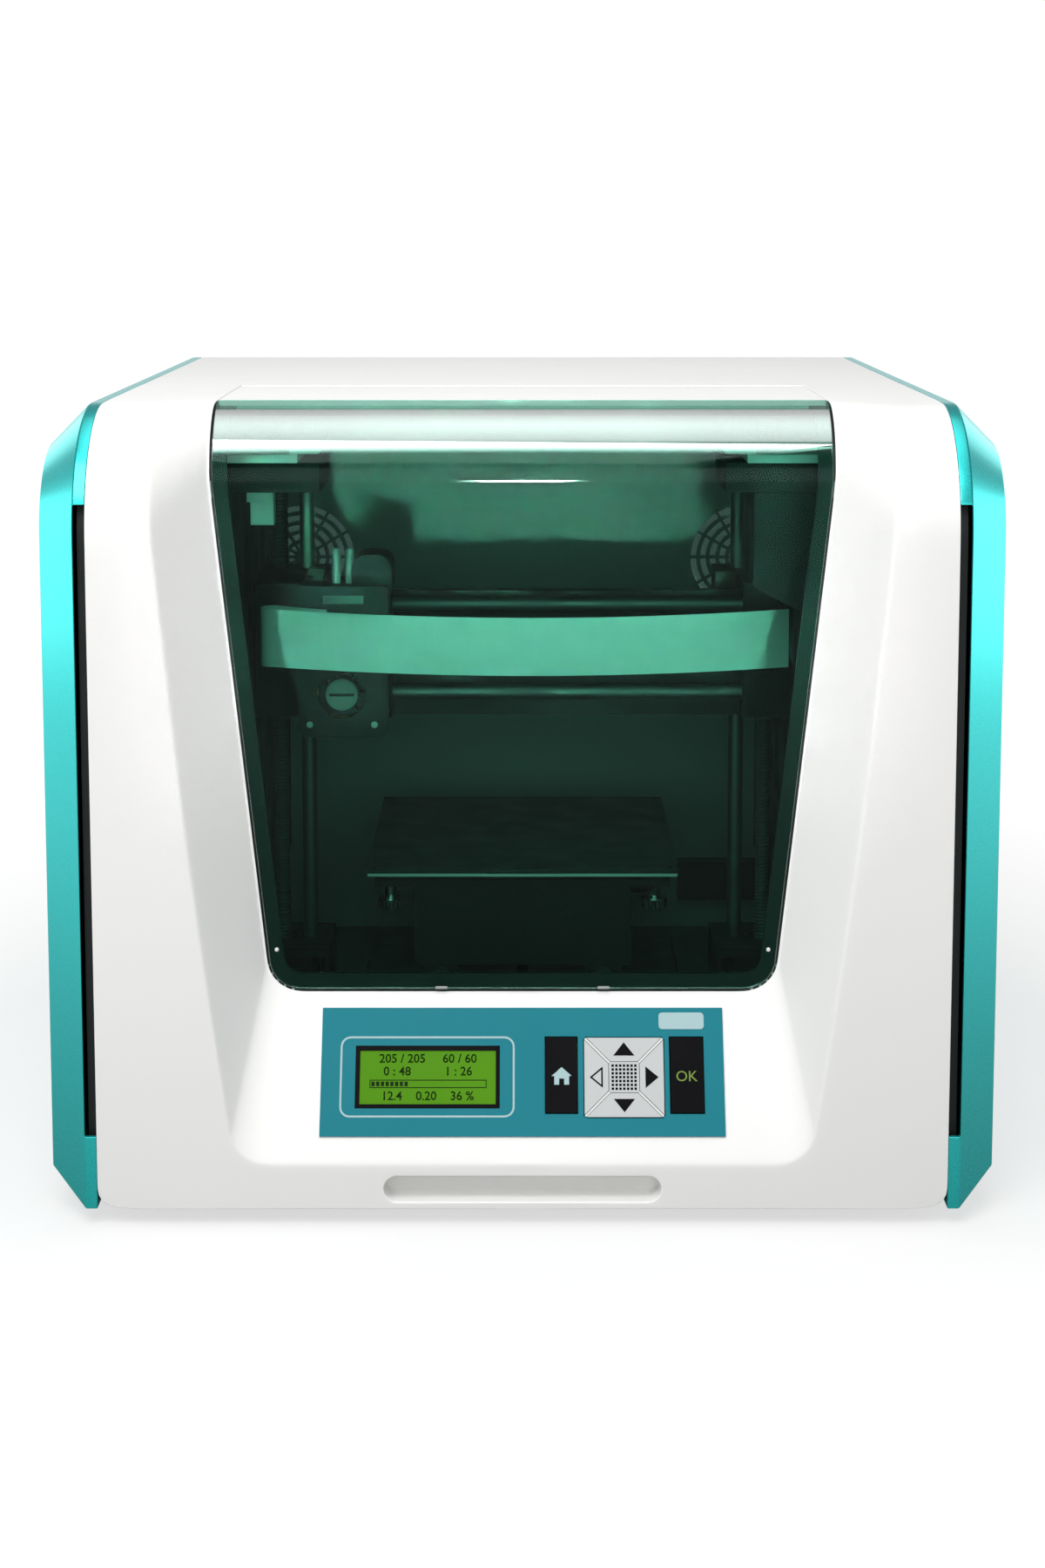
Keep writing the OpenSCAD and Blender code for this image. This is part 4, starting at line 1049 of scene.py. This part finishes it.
def helix(radius, wire, low, high, turns, place, sides=8, steps=20):
    """A coil of round wire with closed ends."""
    bm = bmesh.new()
    ring = bmesh.ops.create_circle(bm, segments=sides, radius=wire * MM, cap_ends=True)["verts"]
    bmesh.ops.rotate(bm, verts=ring, matrix=Matrix.Rotation(math.radians(90), 3, "X"))
    bmesh.ops.translate(bm, verts=ring, vec=Vector((radius, 0, low)) * MM)
    rise = (high - low) * MM / (turns * steps)
    bmesh.ops.spin(bm, geom=bm.faces[:], cent=(0, 0, 0), axis=(0, 0, 1), dvec=(0, 0, rise),
                   angle=2 * math.pi * turns, steps=turns * steps)
    bmesh.ops.translate(bm, verts=bm.verts[:], vec=Vector(place) * MM)
    bmesh.ops.recalc_face_normals(bm, faces=bm.faces[:])
    return bm


# Places of the levelling screws, height of the deck below the springs, and the forms of a screw
# and of its thumb nut as (radius, height above the deck)
BED_SCREWS = [(x, y) for x in (-68, 68) for y in (-16, 104)]
DECK_Z = 104
BED_SHAFT = ((0, -16), (2, -15.6), (2, 5.9), (0, 6))
THUMB_NUT = ((0, -15.8), (6.2, -15.8), (6.8, -15.2), (6.8, -10.8), (6.2, -10.2), (3, -10),
             (3, -4), (0, -3.9))
NUT_STEPS = 48
KNURL_R = 6.5
KNURL_DEPTH = 0.05


def thumb_nut(place):
    """A nut whose rim is cut back at every second step."""
    nut = turned(THUMB_NUT, place, steps=NUT_STEPS)
    step = 360 / NUT_STEPS
    for vert in nut.verts:
        offset = vert.co - Vector(place) * MM
        if offset.xy.length > KNURL_R * MM:
            turn = round(math.degrees(math.atan2(offset.y, offset.x)) / step)
            ridge = 1 - KNURL_DEPTH * (turn % 2)
            vert.co.xy = Vector(place).xy * MM + offset.xy * ridge
    return nut


def make_bed_hardware():
    """Coil springs between the deck and the plate, on screws with knurled thumb nuts."""
    bm = bmesh.new()
    for place in BED_SCREWS:
        foot = (*place, DECK_Z)
        add_form(bm, helix(3.9, 0.55, 0.6, 5.5, 3, foot))
        add_form(bm, turned(BED_SHAFT, foot, steps=16))
        add_form(bm, thumb_nut(foot))
    smooth(make_piece("bed_hardware", bm, "bed", "steel", ("bed_springs",)))


SPOOL_CENTRE = (0, -80, 125)
SPOOL_INSIDE = (-181.2, -146.8)
WINDING_R = (36, 66)
FILAMENT_D = 1.75


def make_winding():
    """Filament on the spool, laid turn by turn."""
    left, right = SPOOL_INSIDE
    inner, outer = WINDING_R
    count = int((right - left) / FILAMENT_D)
    profile = [(inner, left)]
    for i in range(count):
        x = left + FILAMENT_D * i
        profile += [(outer - 0.6, x + 0.1), (outer, x + FILAMENT_D / 2)]
    end = left + FILAMENT_D * count
    profile += [(outer - 0.6, end), (inner, end)]
    bm = turned(profile, SPOOL_CENTRE, "X", 72)
    smooth(make_piece("filament_winding", bm, "spool", "filament"))


SCREW_X = 131
SCREW_Y = 62
THREAD_PITCH = 2
THREAD_R = (3.25, 3.95)
THREAD_PLAIN = 2


def make_lead_screw(side, name):
    """The lead screw with its thread cut as a real ridge."""
    low, high = (end[2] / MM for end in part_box(name))
    root, crest = THREAD_R
    start = low + THREAD_PLAIN
    profile = [(0, low), (root, low), (root, start)]
    for i in range(int((high - low - 2 * THREAD_PLAIN) / THREAD_PITCH)):
        z = start + THREAD_PITCH * i
        profile += [(crest, z + 0.6), (crest, z + 1.1), (root, z + 1.7)]
    profile += [(root, high), (0, high)]
    bm = turned(profile, (0, 0, 0), steps=20)
    for vert in bm.verts:
        if start - 0.5 < vert.co.z / MM < high - THREAD_PLAIN - 0.5:
            turn = math.atan2(vert.co.y, vert.co.x) / (2 * math.pi) % 1
            vert.co.z += turn * THREAD_PITCH * MM
    bmesh.ops.translate(bm, verts=bm.verts[:], vec=Vector((side * SCREW_X, SCREW_Y, 0)) * MM)
    # its steel is darkened as painted shade
    smooth(make_piece(name + "_thread", bm, name, "steel_painted_shade", (name,)))


def rounded_box(low, high, radius):
    """A block with rounded edges between two corners, in millimetres."""
    bm = bmesh.new()
    verts = bmesh.ops.create_cube(bm, size=1)["verts"]
    size = Vector(high) - Vector(low)
    bmesh.ops.scale(bm, verts=verts, vec=size * MM)
    bmesh.ops.translate(bm, verts=verts, vec=(Vector(high) + Vector(low)) / 2 * MM)
    bmesh.ops.bevel(bm, geom=bm.edges[:], offset=radius * MM, segments=2, profile=0.5,
                    affect="EDGES", material=-1)
    return bm


HEAD_FRONT = -35
FAN_CENTRE = (-91, 203)
# Forms turned about Y, as (radius, distance out of the head's front)
SCREW_FORM = ((0, -0.3), (1.7, -0.3), (1.7, 0.5), (1.2, 0.9), (0.7, 0.9), (0.6, 0.4), (0, 0.4))
SHROUD_FORM = ((8.9, 0), (12.6, 0), (12.6, -0.6), (8.9, -0.6), (8.9, 0))
CAP_FORM = ((0, 0.2), (8.1, 0.2), (8.1, 0.7), (7.7, 1.0), (6.9, 1.0), (6.7, 0.8), (0, 0.8))


def make_head_trim():
    """Cable plug, screws and fan shroud of the print head, and the cap on the fan's hub."""
    x, z = FAN_CENTRE
    plug = rounded_box((x - 9, HEAD_FRONT - 2, 249.4), (x + 11.4, HEAD_FRONT - 0.9, 253.6), 0.4)
    smooth(make_piece("cable_plug", plug, "carriage", "plate_grey"))
    bm = bmesh.new()
    for side in (-107.2, -74.6):
        add_form(bm, turned(SCREW_FORM, (side, HEAD_FRONT, 187.6), "Y", 24))
    smooth(make_piece("head_screws", bm, "carriage", "guide_grey"))
    shroud = turned(SHROUD_FORM, (x, HEAD_FRONT + 10.2, z), "Y")
    smooth(make_piece("fan_shroud", shroud, "carriage", "black_plastic"))
    smooth(make_piece("hub_cap", turned(CAP_FORM, (x, HEAD_FRONT, z), "Y"), "head_fan", "plate_grey"))
    slot = rounded_box((x - 6.2, HEAD_FRONT - 1.05, z - 0.7), (x + 6.2, HEAD_FRONT - 0.7, z + 0.7), 0.1)
    smooth(make_piece("hub_slot", slot, "head_fan", "black_plastic"))


# Forms of a tube stub as (radius, z) and of a buffer as (radius, distance out of the window)
STUB_FORM = ((0, 250), (2.2, 250), (2.2, 274.5), (1.7, 275.6), (0, 276))
BUFFER_FORM = ((0, -0.2), (0.9, -0.2), (0.9, 0.3), (0.6, 0.6), (0, 0.7))


def make_fittings():
    """Feed tube stubs on the head, and the window's buffers and catches."""
    bm = bmesh.new()
    for x in (-94.2, -87.4):
        add_form(bm, turned(STUB_FORM, (x, -22, 0), steps=20))
    smooth(make_piece("tube_stubs", bm, "carriage", "guide_grey"))
    bm = bmesh.new()
    for x in (-110.5, 110.5):
        add_form(bm, turned(BUFFER_FORM, (x, WINDOW_Y, 115), "Y", 20))
    smooth(make_piece("window_buffers", bm, "door", "guide_grey"))
    bm = bmesh.new()
    for x in (-36.5, 36.5):
        add_form(bm, rounded_box((x - 2.75, WINDOW_Y - 1.3, WINDOW_Z + 0.4),
                                 (x + 2.75, WINDOW_Y + 0.1, WINDOW_Z + 1.6), 0.4))
    smooth(make_piece("window_catches", bm, "door", "plate_grey"))


def make_plate_edge():
    """Bright edge of the build plate under its black sheet."""
    low, high = (Vector(c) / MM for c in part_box("bed_plate"))
    edge = rounded_box((low.x + 0.6, low.y - 0.12, low.z + 0.5),
                       (high.x - 0.6, low.y + 0.5, low.z + 1.9), 0.05)
    smooth(make_piece("plate_edge", edge, "bed", "guide_grey"))


VENTS = ((-132, 213.7, 238.5), (132, 213.7, 238.5))
FILTER_FORM = ((0, 0), (30.9, 0), (30.9, 0.4), (0, 0.4))


def make_vent_filters():
    """Filter cloth in the middle of the rear panel's wall, seen through its slots."""
    bm = bmesh.new()
    for place in VENTS:
        add_form(bm, turned(FILTER_FORM, place, "Y", 64))
    smooth(make_piece("vent_filters", bm, "chassis", "filter_grey"))


make_ribbon()
make_vent_filters()
make_plate_edge()
make_bed_hardware()
make_winding()
make_lead_screw(-1, "z_screw_left")
make_lead_screw(1, "z_screw_right")
make_head_trim()
make_fittings()


# ---------------------------------------------------------------- floor, world and lamps
# What the floor adds to its lit colour close to the object and far from it, as the eye sees it
# and as gloss mirrors it, and the distances in metres between which it changes
FLOOR_GLOW = (0.65, 1.0)
FLOOR_MIRRORED = (0.04, 0.8)
FLOOR_NEAR = 0.3
FLOOR_FAR = 1.0
FLOOR_PAPER = (0.3, 0.3, 0.3)
# Light from all round, on surfaces that aren't mirrors
WORLD_LIGHT = 0.17
# What gloss mirrors: white walls up to the first height (the sine of its angle), then the dark
# ceiling of the studio from the second one
CEILING = (0.09, 0.4, 0.22)


def either(s, first, second):
    return s.maths("MAXIMUM", first, second)


def times(s, first, second):
    return s.maths("MULTIPLY", first, second)


def seen_rays(s, path):
    """1 for rays that show a surface to the eye, straight or through the window."""
    return either(s, path.outputs["Is Camera Ray"], path.outputs["Is Transmission Ray"])


def floor_material():
    s = new_material("floor")
    paper = s.add("ShaderNodeBsdfDiffuse", Color=FLOOR_PAPER)
    glow = s.add("ShaderNodeEmission", Color=(1, 1, 1))
    length = s.tree.nodes.new("ShaderNodeVectorMath")
    length.operation = "LENGTH"
    s.put(length.inputs[0], s.place())
    path = s.add("ShaderNodeLightPath")
    rays = ((seen_rays(s, path), FLOOR_GLOW), (path.outputs["Is Glossy Ray"], FLOOR_MIRRORED))
    parts = [times(s, ray, s.spread(length.outputs["Value"], *glows, FLOOR_NEAR, FLOOR_FAR))
             for ray, glows in rays]
    s.put(glow.inputs["Strength"], either(s, *parts))
    both = s.tree.nodes.new("ShaderNodeAddShader")
    s.put(both.inputs[0], paper.outputs[0])
    s.put(both.inputs[1], glow.outputs[0])
    return s.finish(both)


def make_floor():
    bm = bmesh.new()
    bmesh.ops.create_circle(bm, cap_ends=True, segments=96, radius=6)
    floor = as_object("floor", bm)
    floor.data.materials.append(floor_material())


def make_world():
    world = bpy.data.worlds.new("studio")
    bpy.context.scene.world = world
    s = Shader(world, "ShaderNodeOutputWorld")
    path = s.add("ShaderNodeLightPath")
    coords = s.add("ShaderNodeTexCoord")
    split = s.add("ShaderNodeSeparateXYZ", Vector=coords.outputs["Generated"])
    first, second, dark = CEILING
    room = s.spread(split.outputs["Z"], 1, dark, first, second)
    mirrored = times(s, path.outputs["Is Glossy Ray"], room)
    strength = either(s, either(s, seen_rays(s, path), mirrored), WORLD_LIGHT)
    s.finish(s.add("ShaderNodeBackground", Color=(1, 1, 1), Strength=strength))


# Each softbox: place, what it faces, width, height, power in watts, angle of its beam
SOFTBOXES = {
    "overhead": ((0, -0.1, 1.55), (0, -0.1, 0), 0.9, 1.6, 2.7, 100),
    "front_key": ((-0.25, -1.0, 1.15), (0, -0.2, 0.25), 1.0, 0.7, 15.5, 180),
    "front_fill": ((0, -2.6, 0.7), (0, -0.2, 0.25), 2.2, 0.9, 11, 180),
    "window_beam": ((0, -2.2, 0.26), (0, 0.2, 0.28), 0.28, 0.16, 0.065, 3),
    "left_strip": ((-1.2, 0.1, 0.3), (0, 0.1, 0.3), 0.6, 0.45, 1.5, 180),
    "right_strip": ((1.2, 0.1, 0.3), (0, 0.1, 0.3), 0.6, 0.45, 2.0, 180),
    "rear_left": ((-1.5, 1.5, 0.9), (0, 0, 0.2), 1.0, 1.2, 5, 180),
    "rear_right": ((1.5, 1.5, 0.9), (0, 0, 0.2), 1.0, 1.2, 5, 180),
}


def make_lamps():
    for name, (place, target, width, height, power, beam) in SOFTBOXES.items():
        data = bpy.data.lights.new(name, "AREA")
        data.shape = "RECTANGLE"
        data.size = width
        data.size_y = height
        data.energy = power
        data.spread = math.radians(beam)
        lamp = bpy.data.objects.new(name, data)
        aim = Vector(target) - Vector(place)
        lamp.rotation_mode = "QUATERNION"
        lamp.rotation_quaternion = aim.to_track_quat("-Z", "Y")
        lamp.location = place
        bpy.context.scene.collection.objects.link(lamp)


make_floor()
make_world()
make_lamps()
bpy.context.scene.view_settings.view_transform = "Standard"
